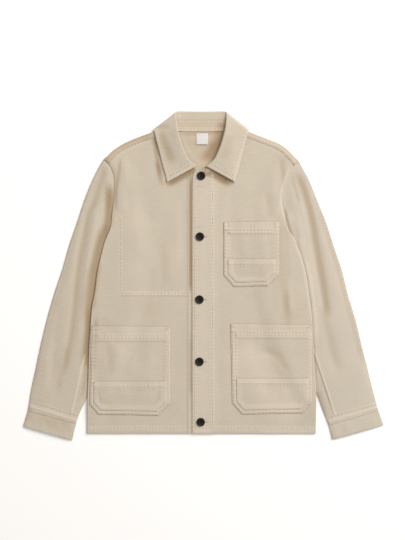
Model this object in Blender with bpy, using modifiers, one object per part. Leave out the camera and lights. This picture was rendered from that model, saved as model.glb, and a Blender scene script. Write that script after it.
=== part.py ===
"""Cotton-twill overshirt laid flat, front up, with every cut piece as its own closed wall of cloth.

The frame is in metres with +Z up. The back panel rests on the plane Z = 0, +Y points to the collar
and +X to the wearer's left sleeve. The tables are in millimetres, as on a cutter's tape, and MM turns
them into metres when a mesh is made. "Right" and "left" are the wearer's.
"""
import math

import bmesh
import bpy
from mathutils import Vector

MM = 0.001

# Cloth: the wall of each piece, and the step from one layer's middle to the next one's.
WALL = 1.1
PITCH = 1.5
HALF = WALL / 2
SEAM_GAP = 0.4

# Heights of the stack, from the ground to the middle of each wall.
FRONT_OVER_BACK = 2.4      # front panel above the back panel
STRIP_OVER_BACK = 4.3      # back panel's strip that comes over the shoulder, on top of the front
SLEEVE_FOLD = 2.2          # upper layer of a flat sleeve above its lower layer, at the folds
SLEEVE_UNDER_BODY = 3.8    # how far the body is lifted where both layers of a sleeve lie below it
SLEEVE_UNDER_ARMHOLE = 1.9 # the same where only the sleeve's lower layer lies below it
FALL_UNDER_BACK = 2.0      # how far the back's neck is lifted by the collar's fall below it

# Side folds: the front rolls down and the back rolls up, to meet at half height.
SIDE_ROLL = FRONT_OVER_BACK / 2
SIDE_ANGLE = math.radians(70)
SHOULDER_ROLL = STRIP_OVER_BACK / 2
SHOULDER_STRIP = 11.0
SHOULDER_TUCK = 5.0        # the front's shoulder edge ends this far inside the fold

HEM_Y = -371
COLLAR_CENTRE = -4.7       # the collar and neckline are symmetric about this x
UNDERLAP_X = 12            # edge of the right front, hidden under the placket
BUTTON_SIZE = 20.0
BUTTON_PLACES = [(-5, 235), (-8, 92), (-9, -56), (-9, -202), (-6, -344)]

# Side fold and armhole of each half, up from the hem: x, y.
RIGHT_SIDE = [(-274, -371), (-273, -292), (-271, -240), (-269, -175), (-266, -120), (-262, -73),
              (-255, -35), (-249, 11), (-235, 71), (-227, 93), (-218, 116), (-215, 145), (-212, 168),
              (-210, 191), (-209, 212), (-211, 236), (-218, 255), (-231, 274)]
LEFT_SIDE = [(265, -371), (266, -292), (264, -245), (260, -179), (257, -118), (252, -69),
             (243, -5), (229, 51), (212, 89), (201, 107), (192, 143), (186, 173),
             (187, 197), (194, 224), (207, 257), (224, 271)]

# Fold of each shoulder, from the armhole to the neck: x, y.
RIGHT_SHOULDER = [(-231, 274), (-225, 282), (-210, 296), (-189, 310), (-158, 324), (-125, 336),
                  (-100, 345), (-86, 349)]
LEFT_SHOULDER = [(224, 271), (214, 281), (199, 296), (180, 310), (148, 323), (114, 336),
                 (91, 345), (76.6, 349)]

# Necklines: the front one from the centre to the shoulder, and the back one across: x, y.
RIGHT_NECK = [(-18, 253), (-48, 266), (-68, 288), (-77, 312), (-83, 335), (-86, 345)]
BACK_NECK = [(-86, 347), (-76, 345.5), (-66, 345), (-52, 345), (-4.7, 345), (42.6, 345), (56.6, 345),
             (66.6, 345.5), (76.6, 347)]

# Front edge of the left front, which carries the buttonholes, with its rounded top corner: x, y.
PLACKET_EDGE = [(-26, -371), (-26, -150), (-26, 80), (-25.5, 215), (-24, 236), (-20.5, 249), (-15, 254.5)]
PLACKET_TOP = [(-15, 254.5), (-3, 255), (9, 253)]

# Sleeves from the cuff seam to the armhole: the outer fold, and the inner one that runs under the body.
RIGHT_OUTER = [(-413, -318), (-405, -269), (-393, -212), (-381, -156), (-367, -99), (-351, -43),
               (-332, 14), (-316, 70), (-297, 126), (-278, 183), (-261, 225), (-247, 253), (-236, 274)]
RIGHT_INNER = [(-299, -348), (-290, -322), (-273, -287), (-249, -240), (-224, -179), (-203, -109),
               (-186, -38), (-178, 32), (-179, 89)]
LEFT_OUTER = [(412, -317), (399, -269), (385, -212), (371, -156), (357, -99), (340, -43), (326, 14),
              (307, 70), (289, 126), (265, 183), (246, 225), (232.5, 253), (229, 271)]
LEFT_INNER = [(295, -352), (279, -311), (265, -274), (240, -236), (216, -189), (195, -123),
              (178, -52), (170, 18), (171, 77)]
RIGHT_CUFF_HEM = ((-424, -354), (-308, -387))
LEFT_CUFF_HEM = ((424, -351), (303, -385))

# Top edge of each sleeve's two layers, from the shoulder to the underarm: x, y.
RIGHT_HEAD_FRONT = [(-236, 274), (-221, 255), (-213.5, 236), (-211.5, 212), (-212.5, 191), (-214.5, 168),
                    (-217, 150), (-215, 130), (-208, 111), (-196, 97), (-179, 89)]
LEFT_HEAD_FRONT = [(229, 271), (213.5, 258), (196.5, 224), (189.5, 197), (188.5, 173), (193, 150),
                   (194, 132), (190, 110), (182, 92), (171, 77)]
RIGHT_HEAD_BACK = [(-236, 274), (-214, 253), (-200, 215), (-190, 160), (-183, 120), (-179, 89)]
LEFT_HEAD_BACK = [(229, 271), (206, 250), (189, 215), (180, 160), (176, 110), (171, 77)]

# How far in the sleeve reaches under the body: y, x at the right side, x at the left side.
SLEEVE_REACH = [(-371, -272, 268), (-300, -272, 268), (-287, -263, 258),
                (-240, -240, 228), (-179, -215, 200), (-109, -194, 180), (-38, -177, 165),
                (32, -169, 159), (95, -170, 160), (160, -180, 166), (215, -190, 174),
                (253, -204, 196), (274, -222, 215), (300, -245, 240)]
REACH_RAMP = 45
REACH_MARGIN = 9

# Collar from its front edge to the centre back, right half, one row a station:
# roll x, y, z;  seam with the stand x, y, z;  outer edge x, y, z;  base of the stand x, y, z.
COLLAR = [
    ((-17, 258, 7.2), (-21, 257.5, 6.2), (-85, 220, 5.4), None),
    ((-34, 273, 9.5), (-40, 268, 7.2), (-88, 234, 5.4), None),
    ((-46, 296, 11.5), (-54.5, 292.5, 8.2), (-95, 259, 5.6), None),
    ((-54, 319, 12.5), (-63.5, 316, 8.8), (-101, 283, 6.0), None),
    ((-60, 343, 12.2), (-70, 341, 9.0), (-107, 306, 7.2), None),
    ((-62.8, 361, 10.8), (-71.5, 357, 8.4), (-111.5, 324, 8.2), None),
    ((-63.8, 375, 9.0), (-70, 370, 7.0), (-114.5, 336, 8.7), None),
    ((-63.5, 382, 7.2), (-68.3, 375.4, 5.5), (-116.5, 341.5, 7.0), None),
    ((-61.5, 385.5, 5.5), (-66.5, 377.5, 4.9), (-116.5, 344, 5.0), None),
    ((-58.8, 386.3, 4.1), (-62, 377, 4.8), (-114.5, 345.3, 2.8), None),
    ((-54, 386.5, 2.9), (-57, 376, 4.2), (-108, 343.5, 0.9), (-69, 353, 4.6)),
    ((-47, 386.5, 2.2), (-50, 369, 3.7), (-97, 338.5, 0.55), (-55, 344, 4.3)),
    ((-29, 386.3, 2.0), (-31, 365, 3.6), (-54, 331.5, 0.55), (-31, 339, 4.2)),
    ((-4.7, 386, 2.0), (-4.7, 365, 3.6), (-4.7, 330, 0.55), (-4.7, 339, 4.2)),
]
COLLAR_ROLL = 1.45
STAND_FROM = 10            # the stand is modelled round the back only: its ends are hidden in front
LEFT_COLLAR_LIFT = [4.0, 3.2, 1.6, 0.6]    # the left leaf stands off the front at these first stations

# Patch pockets: corners x, y anticlockwise from the top left; y of the lower patch's top edge.
CHEST_POCKET = [(48, 126), (48, 1), (72, -26), (152, -24), (178.5, 3), (178.5, 127)]
CHEST_PATCH_TOP = 39
RIGHT_POCKET = [(-263, -118), (-267, -303), (-246, -326), (-105, -329), (-78, -300), (-78, -120)]
RIGHT_PATCH_TOP = -249
LEFT_POCKET = [(64, -113), (68, -300), (91, -326), (235, -323), (256, -296), (254.5, -116)]
LEFT_PATCH_TOP = -242
LABEL = [(-16, 335), (-16, 309), (11, 309), (11, 335)]
LABEL_WALL = 1.0

# Largest soft ridges of the fronts: start x, y, end x, y, half width, height.
FRONT_FOLDS = [(-190, 258, -199, 170, 15, 2.4), (-93, 89, -84, -35, 16, 1.6), (148, 200, 160, 125, 15, 2.0),
               (181, 262, 176, 205, 11, 1.6), (188, -60, 199, -112, 12, 1.8), (130, -150, 205, -240, 26, 2.2),
               (-224, -150, -217, -240, 16, 1.8), (-120, 150, -150, 30, 30, 1.8), (96, 160, 110, -60, 30, 1.6)]
# Largest soft ridges of the sleeves.
SLEEVE_FOLDS = [(-262, 205, -300, 60, 17, 3.4), (-300, 40, -330, -120, 20, 3.0), (-262, 0, -286, -150, 15, 2.6),
                (-345, -60, -372, -230, 18, 2.4), (-300, -200, -340, -290, 22, 2.2),
                (222, 235, 262, 90, 17, 3.2), (268, 70, 300, -90, 20, 3.2), (322, -20, 350, -170, 18, 2.4),
                (280, -130, 322, -260, 16, 2.4), (350, -190, 372, -290, 18, 1.8)]
SLEEVE_LOFT = [(0.0, 1.5), (0.15, 2.2), (0.4, 2.8), (0.85, 2.4), (1.0, 0.8)]    # share of length, loft

TWILL = (0.62, 0.53, 0.41, 1)
TWILL_INSIDE = (0.60, 0.50, 0.38, 1)
BUTTON_BLACK = (0.020, 0.019, 0.018, 1)
LABEL_WHITE = (0.82, 0.81, 0.78, 1)


# ---- curves and fields -------------------------------------------------------------------------

def smooth(t):
    """0 to 1 with level ends."""
    t = min(1.0, max(0.0, t))
    return t * t * (3 - 2 * t)


def read_table(table, key, column=1):
    """Value of a column at `key`, straight between the rows."""
    if key <= table[0][0]:
        return table[0][column]
    for low, high in zip(table, table[1:]):
        if key <= high[0]:
            share = (key - low[0]) / (high[0] - low[0])
            return low[column] + (high[column] - low[column]) * share
    return table[-1][column]


def curve(points, chords=8):
    """A smooth line through the points, as a function of the share of its length."""
    knots = [Vector(point) for point in points]
    knots = [2 * knots[0] - knots[1]] + knots + [2 * knots[-1] - knots[-2]]
    line = [knots[1]]
    for before, start, end, after in zip(knots, knots[1:], knots[2:], knots[3:]):
        for chord in range(1, chords + 1):
            t = chord / chords
            line.append(0.5 * (2 * start + (end - before) * t
                               + (2 * before - 5 * start + 4 * end - after) * t ** 2
                               + (3 * start - before - 3 * end + after) * t ** 3))
    reach = [0.0]
    for start, end in zip(line, line[1:]):
        reach.append(reach[-1] + (end - start).length)

    def at(share):
        wanted = min(1.0, max(0.0, share)) * reach[-1]
        for i in range(1, len(reach)):
            if wanted <= reach[i]:
                return line[i - 1].lerp(line[i], (wanted - reach[i - 1]) / (reach[i] - reach[i - 1]))
        return line[-1]

    return at


def joined(*stretches):
    """One line from several (share at its end, curve) stretches, so that corners fall on a column."""
    def at(share):
        start = 0.0
        for end, stretch in stretches:
            if share <= end:
                return stretch((share - start) / (end - start))
            start = end
        return stretches[-1][1](1.0)
    return at


def shifted(line, distance):
    """The line moved sideways, to the left of its direction."""
    def at(share):
        ahead = line(min(1.0, share + 0.01)) - line(max(0.0, share - 0.01))
        ahead.normalize()
        return line(share) + Vector((-ahead.y, ahead.x)) * distance
    return at


def panel_point(near, far, top, u, v, fade=3):
    """A level grid between the four corners, plus the bow of each edge, which fades across the panel."""
    foot = near(0).lerp(far(0), u)
    head = near(1).lerp(far(1), u)
    near_bow = near(v) - near(0).lerp(near(1), v)
    far_bow = far(v) - far(0).lerp(far(1), v)
    top_bow = top(u) - head
    return foot.lerp(head, v) + near_bow * (1 - u) ** fade + far_bow * u ** fade + top_bow * v ** fade


def bell(q):
    return max(0.0, 1 - q * q) ** 2


def ridges(x, y, folds):
    """Height of the soft folds at a point."""
    height = 0.0
    for x0, y0, x1, y1, half_width, rise in folds:
        run = Vector((x1 - x0, y1 - y0))
        t = min(1.0, max(0.0, (Vector((x - x0, y - y0)) @ run) / run.length_squared))
        away = Vector((x - x0, y - y0)) - run * t
        height += rise * bell(away.length / half_width)
    return height


def lift(x, y):
    """How far the sleeves and the collar's fall hold the body off the ground."""
    beside = read_table(SLEEVE_REACH, y, 1) - x if x < 0 else x - read_table(SLEEVE_REACH, y, 2)
    both_layers = 1 - smooth((y - 140) / 60)
    height = SLEEVE_UNDER_ARMHOLE + (SLEEVE_UNDER_BODY - SLEEVE_UNDER_ARMHOLE) * both_layers
    height *= smooth((y - HEM_Y + 14) / 95)
    from_sleeve = height * smooth(1 + (beside + REACH_MARGIN) / REACH_RAMP)
    from_centre = abs(x - COLLAR_CENTRE)
    fall_edge = 330 + 9 * (from_centre / 95) ** 2
    from_fall = FALL_UNDER_BACK * smooth((y - fall_edge + 34) / 28) * (1 - smooth((from_centre - 118) / 40))
    return from_sleeve + from_fall


def back_height(x, y):
    return lift(x, y) + HALF


def front_height(x, y):
    return back_height(x, y) + FRONT_OVER_BACK + ridges(x, y, FRONT_FOLDS)


def placket_height(x, y):
    """The left front lies one layer higher where it covers the right one."""
    return front_height(x, y) + PITCH * (1 - smooth((x - UNDERLAP_X - 5) / 24))


def body_edge(y, side):
    """x of the body's side fold or armhole at a height, to keep the sleeve flat below the body."""
    table = RIGHT_SIDE if side == "right" else LEFT_SIDE
    return read_table([(row[1], row[0]) for row in table], y)


# ---- meshes ------------------------------------------------------------------------------------

def cloth_grid(columns, rows, place, closed=False):
    """A grid of cloth whose point at column i and row j lies at place(i, j), in millimetres."""
    mesh = bmesh.new()
    bmesh.ops.create_grid(mesh, x_segments=columns, y_segments=rows, size=0.5)
    for vert in mesh.verts:
        column = round((vert.co.x + 0.5) * columns)
        row = round((vert.co.y + 0.5) * rows)
        vert.co = Vector(place(column % columns if closed else column, row)) * MM
    bmesh.ops.remove_doubles(mesh, verts=mesh.verts, dist=1e-7)
    bmesh.ops.triangulate(mesh, faces=mesh.faces)
    bmesh.ops.recalc_face_normals(mesh, faces=mesh.faces)
    return mesh


def material(name, colour, roughness):
    made = bpy.data.materials.new(name)
    made.use_nodes = True
    shader = made.node_tree.nodes["Principled BSDF"]
    shader.inputs["Base Color"].default_value = colour
    shader.inputs["Roughness"].default_value = roughness
    shader.inputs["Metallic"].default_value = 0.0
    return made


def add_object(name, mesh, colour, roughness=0.85, wall=None):
    """An object in the overshirt's collection, with its cloth wall where it has one."""
    data = bpy.data.meshes.new(name)
    mesh.to_mesh(data)
    mesh.free()
    data.materials.append(material(name, colour, roughness))
    made = bpy.data.objects.new(name, data)
    collection.objects.link(made)
    if wall:
        solid = made.modifiers.new("wall", "SOLIDIFY")
        solid.thickness = wall * MM
        solid.offset = 0
    return made


def cut_patch(mesh, corners, rise):
    """The part of a panel's grid inside a convex outline, moved up: what is sewn on a panel follows it."""
    patch = mesh.copy()
    middle = sum((Vector(corner) for corner in corners), Vector((0, 0))) / len(corners)
    for start, end in zip(corners, corners[1:] + corners[:1]):
        run = Vector(end) - Vector(start)
        outward = Vector((run.y, -run.x))
        if outward @ (Vector(start) - middle) < 0:
            outward.negate()
        bmesh.ops.bisect_plane(patch, geom=patch.verts[:] + patch.edges[:] + patch.faces[:], dist=1e-6,
                               plane_co=(start[0] * MM, start[1] * MM, 0), plane_no=(outward.x, outward.y, 0),
                               clear_outer=True)
    bmesh.ops.translate(patch, verts=patch.verts, vec=(0, 0, rise * MM))
    return patch


def below(corners, top):
    """The outline of a pocket's lower patch: the pocket's corners, cut off level at `top`."""
    sides = [corner for corner in corners if corner[1] < top]
    return [(sides[0][0], top)] + sides + [(sides[-1][0], top)]


# ---- body panels -------------------------------------------------------------------------------

FRONT_COLUMNS = [0, 0.05, 0.12, 0.2, 0.3, 0.4, 0.5, 0.6, 0.7, 0.79, 0.87, 0.94, 1]
NECK_SHARE = 0.4           # share of a front's columns that end on its neckline
BODY_ROWS = [0, 0.04, 0.09, 0.14, 0.19, 0.25, 0.31, 0.37, 0.43, 0.49, 0.55, 0.61, 0.67, 0.72, 0.765,
             0.81, 0.855, 0.9, 0.95, 1]
ROLL_STEPS = 3
ROLL_LENGTH = SIDE_ROLL * SIDE_ANGLE


def side_angle(y):
    """The side fold opens out flat along the armhole."""
    return SIDE_ANGLE * (1 - smooth((y - 92) / 30))


def rolled(distance, radius, angle):
    """Outward run and drop of a strip that starts level and bends through an angle."""
    if angle < 1e-3:
        return distance, 0.0
    bend = min(distance / radius, angle)
    rest = distance - radius * bend
    run = radius * math.sin(bend) + rest * math.cos(bend)
    drop = radius * (1 - math.cos(bend)) + rest * math.sin(bend)
    return run, drop


def front_panel(side):
    """One front: the flat grid, then the side fold rolling down to meet the back."""
    inward = 1 if side == "right" else -1
    if side == "right":
        near = curve([(UNDERLAP_X, HEM_Y), (UNDERLAP_X, 0), (UNDERLAP_X, 251)])
        neck = curve([(UNDERLAP_X, 251)] + RIGHT_NECK)
        height = front_height
    else:
        near = curve(PLACKET_EDGE)
        left_neck = [(2 * COLLAR_CENTRE - x, y) for x, y in RIGHT_NECK[1:]]
        neck = curve(PLACKET_TOP + left_neck)
        height = placket_height
    side_table = RIGHT_SIDE if side == "right" else LEFT_SIDE
    shoulder_table = RIGHT_SHOULDER if side == "right" else LEFT_SHOULDER
    far = curve([(x + inward * (SIDE_ROLL + HALF), y) for x, y in side_table[:-1]]
                + [(side_table[-1][0] + inward * 2.5, side_table[-1][1] - 2.5)])
    under_strip = shifted(curve(shoulder_table[::-1]), SHOULDER_TUCK * inward)
    shoulder = curve([neck(1)] + [under_strip(share / 8) for share in range(1, 8)] + [far(1)])
    top = joined((NECK_SHARE, neck), (1.0, shoulder))
    last = len(FRONT_COLUMNS) - 1

    def place(column, row):
        v = BODY_ROWS[row]
        flat = panel_point(near, far, top, FRONT_COLUMNS[min(column, last)], v)
        run, drop = 0.0, 0.0
        if column > last:
            run, drop = rolled(ROLL_LENGTH * (column - last) / ROLL_STEPS, SIDE_ROLL, side_angle(flat.y))
        return flat.x - inward * run, flat.y, height(flat.x, flat.y) - drop

    return cloth_grid(last + ROLL_STEPS, len(BODY_ROWS) - 1, place)


BACK_NECK_AT = (0.36, 0.64)
BACK_COLUMNS = [0, 0.04, 0.1, 0.17, 0.235, 0.292, 0.316, 0.325, 0.334, 0.343, 0.36, 0.43, 0.5, 0.57, 0.64,
                0.657, 0.666, 0.675, 0.684, 0.708, 0.765, 0.83, 0.9, 0.96, 1]
SHOULDER_STEPS = 5
UNROLLED_AT = 88           # from the collar's centre: no strip nearer the neck than this


def back_panel():
    """The back: flat grid, side folds rolling up, and a strip that wraps over each shoulder."""
    inset = SIDE_ROLL + HALF
    drop_in = SHOULDER_ROLL + HALF
    near = curve([(x + inset, y) for x, y in RIGHT_SIDE[:-1]] + [(-228.5, 271.5)])
    far = curve([(x - inset, y) for x, y in LEFT_SIDE[:-1]] + [(221.5, 268.5)])
    right = shifted(curve(RIGHT_SHOULDER), -drop_in)
    left = shifted(curve(LEFT_SHOULDER[::-1]), -drop_in)
    right_line = curve([near(1)] + [right(share / 8) for share in range(1, 8)] + [BACK_NECK[0]])
    left_line = curve([BACK_NECK[-1]] + [left(share / 8) for share in range(1, 8)] + [far(1)])
    top = joined((BACK_NECK_AT[0], right_line), (BACK_NECK_AT[1], curve(BACK_NECK)), (1.0, left_line))
    last = len(BACK_COLUMNS) - 1
    body_rows = len(BODY_ROWS) - 1

    def over_shoulder(x, row):
        """Run and rise of the strip that bends back over the front, and opens out under the collar."""
        outside = abs(x - COLLAR_CENTRE) - UNROLLED_AT
        angle = math.pi * smooth(outside / 13)
        arc = 2.0 + (math.pi * SHOULDER_ROLL - 2.0) * smooth(outside / 13)
        strip = 0.5 + (SHOULDER_STRIP - 0.5) * smooth((outside - 13) / 9)
        arc_steps = SHOULDER_STEPS - 1
        distance = arc * row / arc_steps if row <= arc_steps else arc + strip
        return rolled(distance, SHOULDER_ROLL, angle)

    def place(column, row):
        v = BODY_ROWS[min(row, body_rows)]
        u = BACK_COLUMNS[min(max(column - ROLL_STEPS, 0), last)]
        flat = panel_point(near, far, top, u, v)
        x, y = flat
        strip_rise = 0.0
        if row > body_rows:
            ahead = top(min(1.0, u + 0.01)) - top(max(0.0, u - 0.01))
            outward = Vector((-ahead.y, ahead.x)).normalized()
            run, strip_rise = over_shoulder(flat.x, row - body_rows)
            x += outward.x * run
            y += outward.y * run
        beyond = max(ROLL_STEPS - column, column - ROLL_STEPS - last, 0)
        run, rise = rolled(ROLL_LENGTH * beyond / ROLL_STEPS, SIDE_ROLL, side_angle(flat.y))
        z = back_height(x, y) + strip_rise + rise
        x += run if column > ROLL_STEPS else -run
        return x, y, z

    return cloth_grid(last + 2 * ROLL_STEPS, body_rows + SHOULDER_STEPS, place)


# ---- sleeves and cuffs -------------------------------------------------------------------------

SLEEVE_TOP_SHARES = [0.05, 0.16, 0.28, 0.4, 0.52, 0.64, 0.76, 0.87, 0.955]
SLEEVE_BOTTOM_SHARES = [0.93, 0.72, 0.5, 0.28, 0.07]
FOLD_ANGLES = [-90, -45, 0, 45, 90]
SLEEVE_ROWS = 20
CUFF_ROWS = 3
RING = len(SLEEVE_TOP_SHARES) + len(SLEEVE_BOTTOM_SHARES) + 2 * len(FOLD_ANGLES)


def sleeve_top(x, y, u, loft, side):
    """Middle of a sleeve's upper layer: low at the folds and under the body, soft folds elsewhere."""
    outside = (body_edge(y, side) - x) if side == "right" else (x - body_edge(y, side))
    clear = smooth((outside - 8) / 30) if y < 262 else smooth((u - 0.05) / 0.3)
    crown = bell(2 * u - 1) ** 0.5
    edge = smooth(min(u, 1 - u) / 0.12)
    return HALF + SLEEVE_FOLD + (loft * crown + ridges(x, y, SLEEVE_FOLDS) * edge) * clear


def fold_arc(end, inner, angle):
    """Point on the round fold that closes the two layers at one side of a sleeve."""
    inward = (inner - end).normalized()
    radius = SLEEVE_FOLD / 2
    centre = end + inward * (radius + HALF)
    turned = math.radians(angle)
    spot = centre - inward * radius * math.cos(turned)
    return spot.x, spot.y, HALF + radius + radius * math.sin(turned)


def tube(rows, upper_point, lower_point, loft_at, side):
    """A flat tube of cloth: upper layer, inner fold, lower layer and outer fold, as one closed ring."""
    tops = len(SLEEVE_TOP_SHARES)
    folds = len(FOLD_ANGLES)
    bottoms = len(SLEEVE_BOTTOM_SHARES)

    def place(column, row):
        v = row / rows
        if column < tops:
            u = SLEEVE_TOP_SHARES[column]
            spot = upper_point(u, v)
            return spot.x, spot.y, sleeve_top(spot.x, spot.y, u, loft_at(v), side)
        column -= tops
        if column < folds:
            return fold_arc(upper_point(1, v), upper_point(0.96, v), -FOLD_ANGLES[column])
        column -= folds
        if column < bottoms:
            spot = lower_point(SLEEVE_BOTTOM_SHARES[column], v)
            return spot.x, spot.y, HALF
        column -= bottoms
        return fold_arc(upper_point(0, v), upper_point(0.04, v), FOLD_ANGLES[column])

    return cloth_grid(RING, rows, place, closed=True)


def sleeve(side):
    outer = curve(RIGHT_OUTER if side == "right" else LEFT_OUTER)
    inner = curve(RIGHT_INNER if side == "right" else LEFT_INNER)
    head_front = curve(RIGHT_HEAD_FRONT if side == "right" else LEFT_HEAD_FRONT)
    head_back = curve(RIGHT_HEAD_BACK if side == "right" else LEFT_HEAD_BACK)

    def upper(u, v):
        return panel_point(outer, inner, head_front, u, v)

    def lower(u, v):
        return panel_point(outer, inner, head_back, u, v)

    return tube(SLEEVE_ROWS, upper, lower, lambda v: read_table(SLEEVE_LOFT, v), side)


def cuff(side):
    """The deep band below the sleeve's seam."""
    outer_seam = Vector((RIGHT_OUTER if side == "right" else LEFT_OUTER)[0])
    inner_seam = Vector((RIGHT_INNER if side == "right" else LEFT_INNER)[0])
    outer_hem, inner_hem = [Vector(end) for end in (RIGHT_CUFF_HEM if side == "right" else LEFT_CUFF_HEM)]

    def spot(u, v):
        share = v * (1 - SEAM_GAP / (outer_seam - outer_hem).length)
        return outer_hem.lerp(outer_seam, share).lerp(inner_hem.lerp(inner_seam, share), u)

    return tube(CUFF_ROWS, spot, spot, lambda v: SLEEVE_LOFT[0][1], side)


# ---- collar ------------------------------------------------------------------------------------

ROLL_ANGLES = [-90, -45, 0, 45, 90]
LEAF_SHARES = [0.25, 0.5, 0.75, 1.0]


def collar_stations():
    """Roll, seam, outer edge and base of the stand at each station, round from right to left."""
    right = [[Vector(point) if point else None for point in row] for row in COLLAR]
    left = []
    for index, row in enumerate(right[:-1]):
        mirrored = [Vector((2 * COLLAR_CENTRE - point.x, point.y, point.z)) if point else None for point in row]
        if index < len(LEFT_COLLAR_LIFT):
            mirrored[2].z += LEFT_COLLAR_LIFT[index]
        left.append(mirrored)
    return right + left[::-1]


def leaf_section(stations, index):
    """Section of the collar's leaf: in from the stand's seam, round the roll and out to its edge."""
    roll, seam, outer, _ = stations[index]
    before = stations[max(index - 1, 0)][0]
    after = stations[min(index + 1, len(stations) - 1)][0]
    along = (after - before).normalized()
    apex = -((seam - roll).normalized() + (outer - roll).normalized())
    apex = (apex - along * (apex @ along)).normalized()
    to_leaf = apex.cross(along).normalized()
    centre = roll - apex * COLLAR_ROLL
    points = [seam, seam.lerp(centre - to_leaf * COLLAR_ROLL, 0.5)]
    for angle in ROLL_ANGLES:
        turned = math.radians(angle)
        points.append(centre + (apex * math.cos(turned) + to_leaf * math.sin(turned)) * COLLAR_ROLL)
    start = points[-1]
    for share in LEAF_SHARES:
        points.append(start.lerp(outer, share))
    return points


def collar_leaf():
    stations = collar_stations()
    sections = [leaf_section(stations, index) for index in range(len(stations))]
    return cloth_grid(len(sections) - 1, len(sections[0]) - 1, lambda i, j: sections[i][j])


def collar_stand():
    """The band between the back neckline and the leaf, from shoulder to shoulder."""
    rows = collar_stations()[STAND_FROM:-STAND_FROM]
    steps = 3

    def place(column, row):
        _, seam, _, base = rows[column]
        ready = seam + (base - seam).normalized() * SEAM_GAP
        return base.lerp(ready, row / steps)

    return cloth_grid(len(rows) - 1, steps, place)


# ---- buttons -----------------------------------------------------------------------------------

# Turned profile from the middle of the dished face, over the rim, to the middle of the underside: r, z.
BUTTON_PROFILE = [(0, 2.3), (6.2, 2.3), (8.0, 3.1), (9.4, 3.0), (10.0, 1.8), (9.0, 0.3), (0, 0.3)]
BUTTON_SIDES = 16


def button(name, x, y):
    mesh = bmesh.new()
    scale = BUTTON_SIZE / 20
    verts = [mesh.verts.new((r * scale * MM, 0, z * MM)) for r, z in BUTTON_PROFILE]
    for start, end in zip(verts, verts[1:]):
        mesh.edges.new((start, end))
    made = add_object(name, mesh, BUTTON_BLACK, 0.45)
    made.location = (x * MM, y * MM, (placket_height(x, y) + HALF) * MM)
    turned = made.modifiers.new("turned", "SCREW")
    turned.steps = BUTTON_SIDES
    turned.render_steps = BUTTON_SIDES
    turned.use_merge_vertices = True
    turned.merge_threshold = 1e-5
    return made


# ---- build -------------------------------------------------------------------------------------

for existing in list(bpy.data.objects):
    bpy.data.objects.remove(existing, do_unlink=True)
collection = bpy.data.collections.new("overshirt")
bpy.context.scene.collection.children.link(collection)

back = back_panel()
add_object("label_neck", cut_patch(back, LABEL, PITCH), LABEL_WHITE, 0.7, LABEL_WALL)
add_object("back", back, TWILL_INSIDE, wall=WALL)

front_right = front_panel("right")
front_left = front_panel("left")
for name, panel, corners, patch_top in (("pocket_chest", front_left, CHEST_POCKET, CHEST_PATCH_TOP),
                                        ("pocket_lower_left", front_left, LEFT_POCKET, LEFT_PATCH_TOP),
                                        ("pocket_lower_right", front_right, RIGHT_POCKET, RIGHT_PATCH_TOP)):
    add_object(name, cut_patch(panel, corners, PITCH), TWILL, wall=WALL)
    add_object(name + "_patch", cut_patch(panel, below(corners, patch_top), 2 * PITCH), TWILL, wall=WALL)
add_object("front_right", front_right, TWILL, wall=WALL)
add_object("front_left", front_left, TWILL, wall=WALL)

for side in ("right", "left"):
    add_object("sleeve_" + side, sleeve(side), TWILL, wall=WALL)
    add_object("cuff_" + side, cuff(side), TWILL, wall=WALL)

add_object("collar_leaf", collar_leaf(), TWILL, wall=WALL)
add_object("collar_stand", collar_stand(), TWILL_INSIDE, wall=WALL)
for number, (x, y) in enumerate(BUTTON_PLACES, 1):
    button(f"button_{number}", x, y)
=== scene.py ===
# %% [markdown]
# # A cotton-twill overshirt, laid out flat
#
# The overshirt lies front up on a pale surface, and the camera looks straight down at it. Its solids were
# built first: the frame holds them, and each cell below replaces some of them with finer cloth. A jacket
# like this is cut from flat panels, so most pieces start here as a flat grid whose points are then raised.

# %% Load the frame
import math
from collections import namedtuple

import bmesh
import bpy
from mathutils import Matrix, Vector, noise
from mathutils.bvhtree import BVHTree


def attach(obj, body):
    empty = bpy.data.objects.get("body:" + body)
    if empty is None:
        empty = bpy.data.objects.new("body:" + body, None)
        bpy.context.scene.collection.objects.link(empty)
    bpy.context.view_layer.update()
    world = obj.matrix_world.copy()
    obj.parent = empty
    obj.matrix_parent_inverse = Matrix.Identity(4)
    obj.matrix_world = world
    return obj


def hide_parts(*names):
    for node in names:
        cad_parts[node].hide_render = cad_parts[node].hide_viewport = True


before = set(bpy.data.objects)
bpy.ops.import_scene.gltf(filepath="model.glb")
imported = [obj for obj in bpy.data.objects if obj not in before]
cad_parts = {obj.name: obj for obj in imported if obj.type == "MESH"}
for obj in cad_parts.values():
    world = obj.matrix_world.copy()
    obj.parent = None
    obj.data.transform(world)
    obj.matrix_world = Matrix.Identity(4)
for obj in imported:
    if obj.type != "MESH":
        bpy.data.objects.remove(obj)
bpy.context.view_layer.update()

# %% [markdown]
# ## Camera, light and surface
#
# The garment is flat, so a long lens straight above it shows it as a pattern cutter would see it. The
# frame's height in metres at the cloth sets the lens. The light of the photograph is one large soft source
# at the upper right, with so much bounced light that the surface stays almost white.

# %% Camera above the garment
VIEW_HEIGHT = 540 * 0.00235          # metres of garment that the picture's height covers
CAMERA_DISTANCE = 3.2
SENSOR = 24.0

camera_data = bpy.data.cameras.new("camera")
camera_data.sensor_fit = "VERTICAL"
camera_data.sensor_height = SENSOR
camera_data.lens = SENSOR * CAMERA_DISTANCE / VIEW_HEIGHT
camera = bpy.data.objects.new("camera", camera_data)
camera.location = (-0.0018, 0.0135, CAMERA_DISTANCE + 0.006)
bpy.context.scene.collection.objects.link(camera)
bpy.context.scene.camera = camera
print("lens:", round(camera_data.lens, 1), "mm")


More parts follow.
